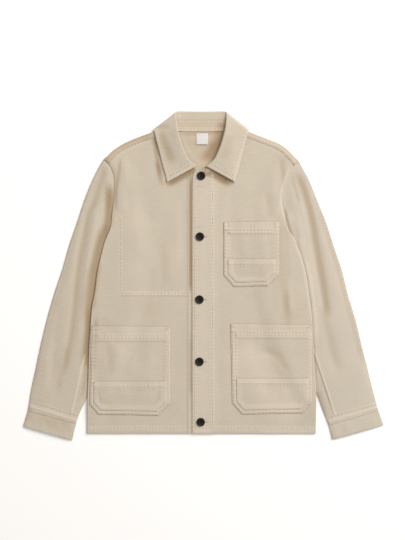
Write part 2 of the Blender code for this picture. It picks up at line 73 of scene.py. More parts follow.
# %% Soft light from the upper right
def softbox(name, size, power, place, aim=(0, 0, 0)):
    """A square area light that looks at `aim`."""
    data = bpy.data.lights.new(name, "AREA")
    data.shape = "SQUARE"
    data.size = size
    data.energy = power
    made = bpy.data.objects.new(name, data)
    made.location = place
    made.rotation_euler = (Vector(aim) - Vector(place)).to_track_quat("-Z", "Y").to_euler()
    bpy.context.scene.collection.objects.link(made)
    return made


softbox("key", 3.2, 290, (2.95, 2.75, 3.3))
softbox("fill", 2.4, 10, (-0.7, -0.5, 2.6))
world = bpy.data.worlds.new("room")
world.use_nodes = True
room_light = world.node_tree.nodes["Background"].inputs
room_light["Color"].default_value = (1.0, 0.92, 0.82, 1)
room_light["Strength"].default_value = 0.34
bpy.context.scene.world = world
# A plain tone curve shows each finish in its own colour, as a catalogue picture does.
bpy.context.scene.view_settings.view_transform = "Standard"
print("lights:", len(bpy.data.lights), "and the room")

# %% The pale surface
surface_mesh = bmesh.new()
SURFACE_REACH = 30         # metres each way, so that its edge is never seen
bmesh.ops.create_grid(surface_mesh, x_segments=1, y_segments=1, size=SURFACE_REACH)
surface_data = bpy.data.meshes.new("surface")
surface_mesh.to_mesh(surface_data)
surface_mesh.free()
surface = bpy.data.objects.new("surface", surface_data)
surface.location.z = -0.0002
bpy.context.scene.collection.objects.link(surface)
paper = bpy.data.materials.new("paper")
paper.use_nodes = True
paper_sockets = paper.node_tree.nodes["Principled BSDF"].inputs
for socket, value in {"Base Color": (0.93, 0.93, 0.93, 1), "Roughness": 0.9,
                      "Emission Color": (1, 1, 1, 1), "Emission Strength": 0.12}.items():
    paper_sockets[socket].default_value = value
surface_data.materials.append(paper)
print("surface:", 2 * SURFACE_REACH, "m wide")

# %% [markdown]
# ## Sizes
#
# Tables are in millimetres, as on a cutter's tape, with the collar up (+Y) and the wearer's left sleeve at
# +X. They are the sizes of the solids, so every fine piece lies where its solid lies.

# %% Heights of the layers
MM = 0.001
WALL = 0.9                 # thickness of one layer of twill
PITCH = 1.5                # from one sewn-on layer's middle to the next
HALF = 0.55                # middle of the lowest layer above the surface
FRONT_OVER_BACK = 2.4      # between the middles of the two layers, as in the next two
STRIP_OVER_BACK = 4.3
SLEEVE_FOLD = 2.2
SLEEVE_UNDER_BODY = 3.8    # how far a whole sleeve lifts the body, and its lower layer alone
SLEEVE_UNDER_ARMHOLE = 1.9
FALL_UNDER_BACK = 2.0      # how far the collar's fall lifts the back of the neck
SIDE_ROLL = FRONT_OVER_BACK / 2
SIDE_ANGLE = math.radians(70)      # a front's side fold bends down this far
SHOULDER_ROLL = STRIP_OVER_BACK / 2
SHOULDER_STRIP = 11.0      # width of the strip that comes over each shoulder
HEM_Y = -371
COLLAR_CENTRE = -4.7
UNDERLAP_X = 12            # the right front goes on to here below the placket
print("stack at a pocket:", FRONT_OVER_BACK + 2 * PITCH + WALL, "mm of cloth")

# %% Outlines of the body
RIGHT_SIDE = [(-274, -371), (-273, -292), (-271, -240), (-269, -175), (-266, -120), (-262, -73),
              (-255, -35), (-249, 11), (-235, 71), (-227, 93), (-218, 116), (-215, 145), (-212, 168),
              (-210, 191), (-209, 212), (-211, 236), (-218, 255), (-231, 274)]
LEFT_SIDE = [(265, -371), (266, -292), (264, -245), (260, -179), (257, -118), (252, -69),
             (243, -5), (229, 51), (212, 89), (201, 107), (192, 143), (186, 173),
             (187, 197), (194, 224), (207, 257), (224, 271)]
RIGHT_SHOULDER = [(-231, 274), (-225, 282), (-210, 296), (-189, 310), (-158, 324), (-125, 336),
                  (-100, 345), (-86, 349)]
LEFT_SHOULDER = [(224, 271), (214, 281), (199, 296), (180, 310), (148, 323), (114, 336),
                 (91, 345), (76.6, 349)]
RIGHT_NECK = [(-18, 253), (-48, 266), (-68, 288), (-77, 312), (-83, 335), (-86, 345)]
BACK_NECK = [(-86, 347), (-76, 345.5), (-66, 345), (-52, 345), (-4.7, 345), (42.6, 345), (56.6, 345),
             (66.6, 345.5), (76.6, 347)]
PLACKET_EDGE = [(-26, -371), (-26, -150), (-26, 80), (-25.5, 215), (-24, 236), (-20.5, 249), (-15, 254.5)]
PLACKET_TOP = [(-15, 254.5), (-3, 255), (9, 253)]
print("hem width:", LEFT_SIDE[0][0] - RIGHT_SIDE[0][0], "mm")

# %% Outlines of the sleeves
RIGHT_OUTER = [(-413, -318), (-405, -269), (-393, -212), (-381, -156), (-367, -99), (-351, -43),
               (-332, 14), (-316, 70), (-297, 126), (-278, 183), (-261, 225), (-247, 253), (-236, 272),
               (-229, 280)]
RIGHT_INNER = [(-299, -348), (-290, -322), (-273, -287), (-249, -240), (-224, -179), (-203, -109),
               (-186, -38), (-178, 32), (-179, 89)]
LEFT_OUTER = [(412, -317), (399, -269), (385, -212), (371, -156), (357, -99), (340, -43), (326, 14),
              (307, 70), (289, 126), (266, 183), (248.5, 226), (235.5, 250), (226, 268), (221, 275)]
LEFT_INNER = [(295, -352), (279, -311), (265, -274), (240, -236), (216, -189), (195, -123),
              (178, -52), (170, 18), (171, 77)]
RIGHT_CUFF_HEM = ((-424, -354), (-308, -387))
LEFT_CUFF_HEM = ((424, -351), (303, -385))
# The upper layer's head is tucked a few millimetres under the armhole, so no gap shows at the seam.
RIGHT_HEAD_FRONT = [(-229, 280), (-211, 257), (-203.5, 238), (-203, 212), (-204, 191), (-206, 168),
                    (-209, 150), (-208, 130), (-203, 111), (-193, 97), (-179, 89)]
LEFT_HEAD_FRONT = [(221, 275), (202, 256), (188, 224), (181, 197), (180, 173), (185, 150),
                   (188, 132), (186, 110), (180, 92), (171, 77)]
RIGHT_HEAD_BACK = [(-229, 280), (-212, 256), (-200, 215), (-190, 160), (-183, 120), (-179, 89)]
LEFT_HEAD_BACK = [(221, 275), (205, 252), (189, 215), (180, 160), (176, 110), (171, 77)]
# How far in the sleeve reaches under the body: y, x at the right side, x at the left side.
SLEEVE_REACH = [(-371, -272, 268), (-300, -272, 268), (-287, -263, 258),
                (-240, -240, 228), (-179, -215, 200), (-109, -194, 180), (-38, -177, 165),
                (32, -169, 159), (95, -170, 160), (160, -180, 166), (215, -190, 174),
                (253, -204, 196), (274, -222, 215), (300, -245, 240)]
REACH_RAMP = 45            # the body comes down off the sleeve over this width
REACH_MARGIN = 9
# share of the way from the cuff to the head, and how full the sleeve is there
SLEEVE_LOFT = [(0.0, 1.5), (0.15, 2.2), (0.4, 2.8), (0.85, 2.4), (1.0, 0.8)]
print("sleeve length:", round((Vector(RIGHT_OUTER[0]) - Vector(RIGHT_OUTER[-1])).length), "mm to the cuff")

# %% Outlines of the pockets
CHEST_POCKET = [(48, 126), (48, 1), (72, -26), (152, -24), (178.5, 3), (178.5, 127)]
CHEST_PATCH_TOP = 39
RIGHT_POCKET = [(-263, -118), (-267, -303), (-246, -326), (-105, -329), (-78, -300), (-78, -120)]
RIGHT_PATCH_TOP = -249
LEFT_POCKET = [(64, -113), (68, -300), (91, -326), (235, -323), (256, -296), (254.5, -116)]
LEFT_PATCH_TOP = -242
print("lower pockets:", LEFT_POCKET[-1][0] - LEFT_POCKET[0][0], "mm wide")

# %% [markdown]
# ## Curves, panels and seams
#
# A panel is a flat grid between its four corners. Each edge's bow is added and fades across the panel, as
# when a cutter draws a curved armhole on squared paper. A seam is a line on such a panel. Each point of the
# cloth remembers how far it is from the nearest seam and how far along it, so that the finish can pucker
# the cloth there and lay a row of needle holes in it.


# %% Curves through points
def smooth(t):
    """0 to 1 with level ends."""
    t = min(1.0, max(0.0, t))
    return t * t * (3 - 2 * t)


def read_table(table, key, column=1):
    """Value of a column at `key`, straight between the rows."""
    if key <= table[0][0]:
        return table[0][column]
    for low, high in zip(table, table[1:]):
        if key <= high[0]:
            share = (key - low[0]) / (high[0] - low[0])
            return low[column] + (high[column] - low[column]) * share
    return table[-1][column]


def through(points, at):
    """Point of a smooth line through the points; `at` counts them from 0."""
    last = len(points) - 1
    at = min(max(at, 0.0), last)
    start = min(int(at), last - 1)
    t = at - start
    here, there = points[start], points[start + 1]
    before = points[start - 1] if start else 2 * here - there
    after = points[start + 2] if start + 2 <= last else 2 * there - here
    return 0.5 * (2 * here + (there - before) * t + (2 * before - 5 * here + 4 * there - after) * t ** 2
                  + (3 * here - before - 3 * there + after) * t ** 3)


def curve(points, chords=8):
    """A smooth line through the points, as a function of the share of its length."""
    knots = [Vector(point) for point in points]
    line = [through(knots, step / chords) for step in range(chords * (len(knots) - 1) + 1)]
    reach = [0.0]
    for start, end in zip(line, line[1:]):
        reach.append(reach[-1] + (end - start).length)

    def at(share):
        wanted = min(1.0, max(0.0, share)) * reach[-1]
        for i in range(1, len(reach)):
            if wanted <= reach[i]:
                return line[i - 1].lerp(line[i], (wanted - reach[i - 1]) / (reach[i] - reach[i - 1]))
        return line[-1]

    return at


def joined(*stretches):
    """One line from several (share at its end, curve) stretches, so that corners fall on a column."""
    def at(share):
        start = 0.0
        for end, stretch in stretches:
            if share <= end:
                return stretch((share - start) / (end - start))
            start = end
        return stretches[-1][1](1.0)
    return at


def shifted(line, distance):
    """The line moved sideways, to the left of its direction."""
    def at(share):
        ahead = line(min(1.0, share + 0.01)) - line(max(0.0, share - 0.01))
        ahead.normalize()
        return line(share) + Vector((-ahead.y, ahead.x)) * distance
    return at


print("halfway up the placket's edge:", curve(PLACKET_EDGE)(0.5))


# %% Flat panels
def panel(near, far, top, columns, rows, fade=3):
    """Flat point of a panel at a column and row number, for lists of column and row shares."""
    nears = [near(v) for v in rows]
    fars = [far(v) for v in rows]
    tops = [top(u) for u in columns]
    foot_near, foot_far, head_near, head_far = near(0), far(0), near(1), far(1)

    def at(column, row):
        u, v = columns[column], rows[row]
        flat = foot_near.lerp(foot_far, u).lerp(head_near.lerp(head_far, u), v)
        flat += (nears[row] - foot_near.lerp(head_near, v)) * (1 - u) ** fade
        flat += (fars[row] - foot_far.lerp(head_far, v)) * u ** fade
        flat += (tops[column] - head_near.lerp(head_far, u)) * v ** fade
        return flat

    return at


def shares(marks, steps):
    """Shares between the marks, with about `steps` steps in all, so that each mark falls on a share."""
    found = []
    for start, end in zip(marks, marks[1:]):
        count = max(1, round((end - start) * steps))
        found += [start + (end - start) * step / count for step in range(count)]
    return found + [marks[-1]]


print("a panel's edge in four:", shares([0, 1], 4))


# %% Seams that the cloth remembers
SEAM_REACH = 16.0          # beyond this distance a seam leaves the cloth alone
Seam = namedtuple("Seam", "points low high")


def seam(*points, reach=SEAM_REACH):
    """A row of stitching through these flat points."""
    points = [Vector(point) for point in points]
    low = Vector((min(p.x for p in points) - reach, min(p.y for p in points) - reach))
    high = Vector((max(p.x for p in points) + reach, max(p.y for p in points) + reach))
    return Seam(points, low, high)


def beside(row, x, y):
    """Distance to a seam's line, and how far along it, in millimetres."""
    best, along, run = 1e3, 0.0, 0.0
    for start, end in zip(row.points, row.points[1:]):
        across_x, across_y = end.x - start.x, end.y - start.y
        length = math.hypot(across_x, across_y)
        t = min(1.0, max(0.0, ((x - start.x) * across_x + (y - start.y) * across_y) / length ** 2))
        gap = math.hypot(x - start.x - across_x * t, y - start.y - across_y * t)
        if gap < best:
            best, along = gap, run + t * length
        run += length
    return best, along


def nearest_seam(seams, x, y):
    """The same for the nearest of several seams."""
    best, along = SEAM_REACH, 0.0
    for row in seams:
        if row.low.x < x < row.high.x and row.low.y < y < row.high.y:
            gap, run = beside(row, x, y)
            if gap < best:
                best, along = gap, run
    return best, along


PUCKER_LENGTH = 8.2        # from one pucker of a sewn hem to the next
PUCKER_WIDTH = 4.5         # it fades this far from the seam
PUCKER_RISE = {"hem": 0.22, "pocket": 0.30, "shoulder": 0.18, "collar": 0.28, "stand": 0.24}


def pucker(gap, along, sewn="hem"):
    """Rise of the cloth where thread has drawn it together."""
    wander = noise.noise(Vector((along / 23, gap / 30, 3.1)))
    wave = math.sin(2 * math.pi * along / PUCKER_LENGTH + 5 * wander)
    return PUCKER_RISE[sewn] * wave * (0.6 + wander) * math.exp(-(gap / PUCKER_WIDTH) ** 2)


print("a pucker every", PUCKER_LENGTH, "mm")

# %% [markdown]
# ## How the cloth lies
#
# Twill laid out by hand keeps a few long soft ridges, some shallow hollows, and a slow unevenness. The
# ridges are listed with their two ends, half width and height; slow noise makes the rest, and it is the
# same on each run.

# %% Folds of the fronts and sleeves
# line of the fold, half width, height (a trough is negative)
FRONT_FOLDS = [
    ([(-178, 286), (-186, 234), (-191, 187), (-189, 131)], 15, 0.9),
    ([(-83, 84), (-76, 28), (-73, -33)], 26, 0.4),
    ([(-102, 93), (-99, 32), (-97, -29)], 18, -0.3),
    ([(150, 202), (155, 164), (160, 126)], 18, -0.5),
    ([(169, 206), (171, 164), (176, 131)], 16, 0.6),
    ([(183, 286), (187, 244), (192, 197)], 14, -0.6),
    ([(184, 143), (190, 60), (196, -20), (199, -116)], 14, -0.9),
    ([(166, 120), (172, 50), (178, -20), (182, -116)], 18, 0.7),
    ([(-219, -160), (-218, -198), (-216, -236)], 15, -0.5),
    ([(-200, -160), (-199, -198), (-197, -236)], 17, 0.5),
    ([(128, -168), (160, -179), (186, -196), (206, -234)], 20, -0.6),
    ([(-125, 143), (-135, 84), (-149, 23)], 32, 1.0),
    ([(96, 166), (103, 61), (110, -57)], 32, 0.9),
]
SLEEVE_FOLDS = [
    ([(-225, 216), (-227, 150), (-238, 93), (-250, 25), (-260, -57), (-267, -139)], 16, -1.0),
    ([(-254, 185), (-271, 147), (-278, 98), (-290, 30), (-297, -29), (-308, -127), (-327, -245)], 18, -1.2),
    ([(-226, 267), (-240, 225), (-252, 185), (-264, 143)], 15, -1.0),
    ([(-243, 178), (-257, 108), (-268, 32), (-280, -57), (-297, -163)], 16, 1.1),
    ([(-276, 166), (-304, 65), (-327, -33), (-355, -151), (-374, -245)], 19, 0.9),
    ([(-327, -57), (-341, -151), (-360, -257)], 20, -0.6),
    ([(216, 256), (238, 200), (257, 130), (272, 32), (285, -38), (296, -116)], 19, -1.3),
    ([(272, -57), (298, -151), (326, -240)], 24, -0.8),
    ([(234, 234), (270, 126), (303, 14), (326, -80)], 20, 0.7),
    ([(213, 152), (225, 100), (236, 55), (252, 0), (267, -80), (289, -180)], 16, 0.9),
    ([(207, 244), (216, 206), (227, 166)], 9, -0.5),
]
print("folds drawn:", len(FRONT_FOLDS) + len(SLEEVE_FOLDS))

# %% Painted shade and painted light
# line, half width, share of painted shade; of painted light if negative.
# Above 1 it goes on towards the painted shade deep in a fold.
BODY_SHADES = [
    ([(-192, 291), (-199, 239), (-205, 192), (-203, 140)], 7, 0.60),
    ([(-93, 93), (-90, 32), (-85, -33)], 17, 0.13),
    ([(150, 202), (155, 164), (160, 126)], 11, 0.22),
    ([(183, 286), (187, 244), (192, 197)], 9, 0.35),
    ([(176, 143), (181, 60), (188, -20), (195, -60), (198, -116)], 15, 0.38),
    ([(-243, -95), (-229, -109), (-210, -118)], 14, 0.14),
    ([(-221, -150), (-219, -198), (-215, -245)], 11, 0.22),
    ([(-250, -254), (-245, -278), (-237, -306)], 4, 0.45),
    ([(-100, -259), (-104, -283), (-111, -306)], 4, 0.25),
    ([(124, -168), (158, -178), (184, -194), (204, -232)], 13, 0.32),
    ([(-16, 250), (8, 246), (23, 239), (46, 226), (70, 212)], 13, 1.90),
    ([(-30, 255), (-30, 110), (-30, -55)], 5, 1.60),
    ([(-30, -120), (-30, -200), (-30, -300)], 5, 0.60),
    ([(-118, 345), (-109, 284), (-97, 220)], 10, 0.80),
    ([(-112, 275), (-104, 240), (-95, 204)], 9, 0.50),
    ([(-94, 213), (-70, 223), (-38, 241), (-12, 259)], 12.5, 1.80),
    ([(-160, -45), (-130, -75), (-95, -95)], 30, 0.12),
    ([(-2, 244), (-2, -60), (-2, -374)], 34, -0.26),
    ([(-165, 175), (-160, 84), (-155, -20)], 26, -0.16),
    ([(-57, 200), (-55, 90), (-55, 10)], 14, -0.20),
    ([(55, 215), (56, 160), (55, 105)], 18, -0.18),
    ([(168, 270), (170, 235), (172, 190)], 13, -0.20),
    ([(100, 331), (142, 315), (178, 299), (206, 277)], 10, -0.85),
    ([(191, -25), (196, -80), (203, -138)], 15, 0.28),
    ([(-118, 324), (-155, 311), (-186, 296), (-206, 281)], 9, -0.45),
    ([(203, 10), (206, -35), (208, -90)], 9, -0.30),
    ([(-240, 40), (-252, -20), (-258, -95)], 9, 0.45),
    ([(-250, -85), (-253, -130), (-255, -180), (-257, -242)], 10, 0.70),
    ([(-88, -135), (-88, -210), (-92, -290)], 10, 0.25),
    ([(138, 200), (141, 130), (143, 60)], 20, -0.16),
    ([(222, 268), (205, 255), (191, 224), (184, 197), (183, 173), (189, 143), (198, 107)], 5, -0.40),
    ([(200, 100), (226, 50), (240, -5), (249, -69), (254, -118)], 5, -0.55),
    ([(-196, -40.5), (-130, -42), (-38, -42)], 4.5, -0.75),
    ([(140, 0), (146, -60), (150, -108)], 22, -0.14),
    ([(70, -150), (150, -260), (240, -340)], 66, -0.36),
    ([(120, -368), (200, -368), (275, -368)], 14, -0.30),
    ([(-30, -363), (0, -363), (26, -363)], 13, -0.40),
    ([(-24, 208), (-8, 210), (10, 208)], 5, 0.30),
    ([(-24, 116), (-8, 115), (6, 116)], 5, 0.30),
]
SLEEVE_SHADES = [
    ([(-220, 226), (-221, 150), (-229, 78)], 16, 1.25),
    ([(-268, -60), (-270, -120), (-273, -180), (-279, -245), (-287, -300)], 9, 0.60),
    ([(-352, -130), (-360, -200), (-368, -285)], 12, -0.25),
    ([(-262, 40), (-272, -10), (-276, -70), (-281, -127)], 12, 0.35),
    ([(-226, 128), (-240, 85), (-254, 25), (-262, -57), (-270, -139), (-278, -225)], 18, 1.20),
    ([(-258, 215), (-290, 110), (-312, 30)], 14, -0.25),
    ([(-345, -60), (-362, -140), (-378, -230)], 17, -0.25),
    ([(-254, 185), (-271, 147), (-278, 98), (-290, 30), (-297, -29), (-308, -127), (-327, -245)], 11, 0.48),
    ([(-226, 267), (-240, 225), (-252, 185), (-264, 143)], 11, 0.42),
    ([(-332, -57), (-346, -151), (-360, -245)], 18, 0.18),
    ([(-243, 178), (-257, 108), (-270, 32), (-282, -57)], 9, -0.25),
    ([(214, 258), (238, 200), (254, 140), (265, 75), (275, 20), (285, -38), (295, -110)], 14, 0.76),
    ([(202, 160), (213, 115), (227, 66)], 13, -0.75),
    ([(256, 212), (293, 100), (331, -28), (361, -140), (382, -222)], 13, 0.38),
    ([(266, -262), (276, -300), (286, -345)], 12, 0.50),
    ([(-425, -352), (-418, -325), (-410, -300)], 14, 0.50),
    ([(-372, -110), (-388, -190), (-402, -270)], 10, 0.35),
    ([(-318, -150), (-330, -215), (-343, -285)], 12, 0.28),
    ([(272, -57), (298, -151), (326, -240)], 16, 0.32),
    ([(190, 165), (197, 135), (204, 110), (215, 82)], 6.5, 0.95),
    ([(207, 244), (216, 206), (227, 166)], 7, 0.42),
    ([(204, 98), (221, 66), (237, 33), (248, 0), (257, -60), (262, -115), (266, -172)], 11, -0.90),
    ([(257.5, -176), (284, -255), (306.5, -326)], 3.4, 0.85),
    ([(-400, -330), (-350, -345), (-305, -360)], 22, 0.22),
]
COLLAR_SHADES = [
    ([(-104, 348), (-93, 318), (-81, 290), (-68, 258)], 17, 0.62),
    ([(-60, 348), (-54, 318), (-46, 292), (-34, 270)], 10, -0.30),
    ([(61, 338), (58, 305), (46, 267)], 16, 0.25),
    ([(-114, 348), (-96, 351), (-76, 352)], 10, 0.40),
]
NECK_SHADES = [
    ([(50, 376), (38, 330), (22, 291), (-2, 260)], 20, 0.95),
    ([(-54, 335), (-45, 310), (-32, 284)], 12, -0.30),
    ([(-14, 272), (8, 290), (27, 320)], 17, 0.38),
    ([(-64, 335), (-8, 334), (49, 338)], 6, 0.55),
]
FOLD_CHORDS = 10
FOLD_FADE = 45.0           # a fold dies out over this length at each end
Fold = namedtuple("Fold", "row length half_width amount")


def fold_lines(table):
    """The table's lines as smooth curves."""
    made = []
    for points, half_width, amount in table:
        line = curve(points)
        row = seam(*[line(step / FOLD_CHORDS) for step in range(FOLD_CHORDS + 1)], reach=half_width)
        length = sum((end - start).length for start, end in zip(row.points, row.points[1:]))
        made.append(Fold(row, length, half_width, amount))
    return made


def fold_sum(folds, x, y):
    """Sum of the soft folds at a point; each fades across its width and at its ends."""
    total = 0.0
    for fold in folds:
        if fold.row.low.x < x < fold.row.high.x and fold.row.low.y < y < fold.row.high.y:
            gap, run = beside(fold.row, x, y)
            q = gap / fold.half_width
            if q < 1:
                fade = min(FOLD_FADE, 0.25 * fold.length)
                ends = smooth(run / fade) * smooth((fold.length - run) / fade)
                total += fold.amount * (1 - q * q) ** 2 * ends
    return total


front_folds, sleeve_folds = fold_lines(FRONT_FOLDS), fold_lines(SLEEVE_FOLDS)
body_shades, sleeve_shades = fold_lines(BODY_SHADES), fold_lines(SLEEVE_SHADES)
collar_shades, neck_shades = fold_lines(COLLAR_SHADES), fold_lines(NECK_SHADES)
print("shaded lines:", len(body_shades) + len(sleeve_shades) + len(collar_shades) + len(neck_shades))


# %% Heights of body and sleeves
SLOW_SWELL, SMALL_SWELL = 0.55, 0.16


def unevenness(x, y, seed=0.0):
    """Slow swells of cloth that was smoothed by hand."""
    slow = noise.noise(Vector((x / 62, y / 95, seed)))
    small = noise.noise(Vector((x / 21, y / 34, seed + 7.7)))
    return SLOW_SWELL * slow + SMALL_SWELL * small


def lift(x, y):
    """How far the sleeves and the collar's fall hold the body off the surface."""
    over_sleeve = read_table(SLEEVE_REACH, y, 1) - x if x < 0 else x - read_table(SLEEVE_REACH, y, 2)
    # Beside the armhole only the sleeve's lower layer is under the body; towards the hem nothing is.
    both_layers = 1 - smooth((y - 140) / 60)
    height = SLEEVE_UNDER_ARMHOLE + (SLEEVE_UNDER_BODY - SLEEVE_UNDER_ARMHOLE) * both_layers
    height *= smooth((y - HEM_Y + 14) / 95)
    from_sleeve = height * smooth(1 + (over_sleeve + REACH_MARGIN) / REACH_RAMP)
    # The fall's outer edge is a shallow curve below the neck.
    from_centre = abs(x - COLLAR_CENTRE)
    fall_edge = 330 + 9 * (from_centre / 95) ** 2
    from_fall = FALL_UNDER_BACK * smooth((y - fall_edge + 34) / 28) * (1 - smooth((from_centre - 118) / 40))
    return from_sleeve + from_fall


EDGE_BY_HEIGHT = {"right": [(y, x) for x, y in RIGHT_SIDE], "left": [(y, x) for x, y in LEFT_SIDE]}


def body_edge(y, side):
    """x of the body's side fold or armhole at a height."""
    return read_table(EDGE_BY_HEIGHT[side], y)


def back_height(x, y):
    """Middle of the back's wall."""
    return lift(x, y) + HALF


LET_DOWN = {"right": 1.3, "left": 0.6}     # the armhole seam pulls the front's edge down this far


def front_height(x, y):
    """Middle of the front's wall, with its folds, and let down a little at the armhole seam."""
    side = "right" if x < 0 else "left"
    inside = abs(body_edge(y, side)) - abs(x)
    armhole = smooth((y - 100) / 25) * (1 - smooth(inside / 9))
    folds = fold_sum(front_folds, x, y)
    return back_height(x, y) + FRONT_OVER_BACK + folds + unevenness(x, y) - LET_DOWN[side] * armhole


def placket_height(x, y):
    """The left front lies one layer higher where it covers the right one."""
    return front_height(x, y) + PITCH * (1 - smooth((x - UNDERLAP_X - 5) / 24))


print("front above the surface:", round(front_height(-100, 0), 1), "mm")


# %% [markdown]
# ## Cloth as grids
#
# Every panel is one operator's grid. Its points are put in place, its UV map keeps the flat position in
# metres so that the weave follows the cut, and a Solidify modifier gives it its thickness.


# %% Marks on the cloth
# What each point knows: nearest seam, how far along it, nearest painted shade line, painted shade (light or
# wear if negative)
MARKS = ("seam_gap", "seam_run", "shadow_line_gap", "shade")
UNMARKED = (SEAM_REACH, 0.0, SEAM_REACH, 0.0)
SEAM_LEFT_ALONE = 7.0      # at this distance from a seam nothing of it shows


def settle_marks(mesh):
    """Where the nearest seam changes, its run jumps; such points leave the seams alone."""
    gap_layer, run_layer = [mesh.verts.layers.float[mark] for mark in MARKS[:2]]
    for edge in mesh.edges:
        if abs(edge.verts[0][run_layer] - edge.verts[1][run_layer]) > 3 * PUCKER_LENGTH:
            for vert in edge.verts:
                vert[gap_layer] = max(vert[gap_layer], SEAM_LEFT_ALONE)


print("marks:", ", ".join(MARKS))


# %% A grid of cloth
def cloth_grid(columns, rows, place, lay=None, seam_at=None, closed=False):
    """A grid whose point at column i, row j lies at place(i, j), in millimetres.

    lay gives its place in the flat cut, and seam_at what it knows of the seams.
    """
    mesh = bmesh.new()
    cut = mesh.loops.layers.uv.new("UVMap")
    bmesh.ops.create_grid(mesh, x_segments=columns, y_segments=rows, size=0.5, calc_uvs=True)
    mesh.verts.index_update()
    layers = [mesh.verts.layers.float.new(mark) for mark in MARKS]
    flat_places = {}
    for vert in mesh.verts:
        column = round((vert.co.x + 0.5) * columns)
        row = round((vert.co.y + 0.5) * rows)
        spot = Vector(place(column % columns if closed else column, row))
        flat_places[vert.index] = Vector(lay(column, row)) if lay else spot.xy
        for layer, value in zip(layers, seam_at(column, row) if seam_at else UNMARKED):
            vert[layer] = value
        vert.co = spot * MM
    settle_marks(mesh)
    for face in mesh.faces:
        for loop in face.loops:
            loop[cut].uv = flat_places[loop.vert.index] * MM
    bmesh.ops.remove_doubles(mesh, verts=mesh.verts, dist=1e-7)
    bmesh.ops.recalc_face_normals(mesh, faces=mesh.faces)
    return mesh


def layer_area(mesh):
    """Area of one layer of cloth, in square metres."""
    return sum(face.calc_area() for face in mesh.faces)


def add_piece(name, mesh, finish, wall=WALL, nodes=()):
    """An object from the mesh, which rides on the garment and stands for these solids."""
    data = bpy.data.meshes.new(name)
    mesh.to_mesh(data)
    data.shade_smooth()
    data.materials.append(finish)
    piece = bpy.data.objects.new(name, data)
    bpy.context.scene.collection.objects.link(piece)
    if wall:
        solid = piece.modifiers.new("wall", "SOLIDIFY")
        solid.thickness = wall * MM
        solid.offset = 0
        shading = piece.modifiers.new("shading", "WEIGHTED_NORMAL")
        shading.mode = "FACE_AREA"
        shading.weight = 100
    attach(piece, "root")
    if nodes:
        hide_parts(*nodes)
    return piece


sample = cloth_grid(4, 4, lambda i, j: (25 * i, 25 * j, 0))
print("ten centimetres square:", len(sample.faces), "faces", round(layer_area(sample), 4), "m2")
sample.free()

# %% [markdown]
# ## Finishes
#
# A finish is a node tree, and node trees are easier to read as sums. The small class below wraps a socket,
# so that an expression such as 1 - mask adds its own Math node.


# %% Sums of sockets
class Strand:
    """A value that changes over the surface, with Python's arithmetic."""

    def __init__(self, finish, socket):
        self.finish = finish
        self.socket = socket

    def __add__(self, other):
        return self.finish.maths("ADD", self, other)

    def __radd__(self, other):
        return self.finish.maths("ADD", other, self)

    def __sub__(self, other):
        return self.finish.maths("SUBTRACT", self, other)

    def __rsub__(self, other):
        return self.finish.maths("SUBTRACT", other, self)

    def __mul__(self, other):
        return self.finish.maths("MULTIPLY", self, other)

    def __rmul__(self, other):
        return self.finish.maths("MULTIPLY", other, self)


class Finish:
    """A material whose nodes are added by expressions."""

    def __init__(self, name, colour, roughness, sheen=0.0):
        self.material = bpy.data.materials.new(name)
        self.material.use_nodes = True
        self.tree = self.material.node_tree
        self.shader = self.tree.nodes["Principled BSDF"]
        self.shader.inputs["Base Color"].default_value = (*colour, 1)
        self.shader.inputs["Roughness"].default_value = roughness
        self.shader.inputs["Sheen Weight"].default_value = sheen

    def node(self, kind, settings, values, output=0):
        """Adds a node: its settings first, then the values or links of its sockets."""
        made = self.tree.nodes.new(kind)
        for name, value in settings.items():
            setattr(made, name, value)
        for name, value in values.items():
            self.feed(made.inputs[name], value)
        return Strand(self, made.outputs[output])

    def feed(self, socket, value):
        """Links a strand to a socket, or gives the socket a plain value."""
        if isinstance(value, Strand):
            self.tree.links.new(value.socket, socket)
        else:
            socket.default_value = value

    def maths(self, operation, *values):
        """A Math node on strands or plain numbers."""
        return self.node("ShaderNodeMath", {"operation": operation}, dict(enumerate(values)))

    def mix(self, share, first, second):
        """A colour between two colours."""
        return self.node("ShaderNodeMix", {"data_type": "RGBA"}, {0: share, 6: first, 7: second}, 2)

    def noise(self, where, scale, detail=2.0):
        """Soft noise of 0 to 1, with about `scale` cells in a metre."""
        return self.node("ShaderNodeTexNoise", {}, {"Vector": where, "Scale": scale, "Detail": detail})

    def bell(self, distance, width):
        """1 on a line and 0 a few widths away from it."""
        near = distance * (1 / width)
        return self.maths("EXPONENT", near * near * -1)

    def set(self, **links):
        """Feeds the shader's sockets, and gives the finished material."""
        for name, value in links.items():
            self.feed(self.shader.inputs[name.replace("_", " ")], value)
        return self.material

    def bump(self, height, distance):
        """Normal of a surface raised by a height of 0 to 1 times a distance in metres."""
        return self.node("ShaderNodeBump", {}, {"Strength": 1.0, "Distance": distance, "Height": height})


print("a strand understands + - and *")
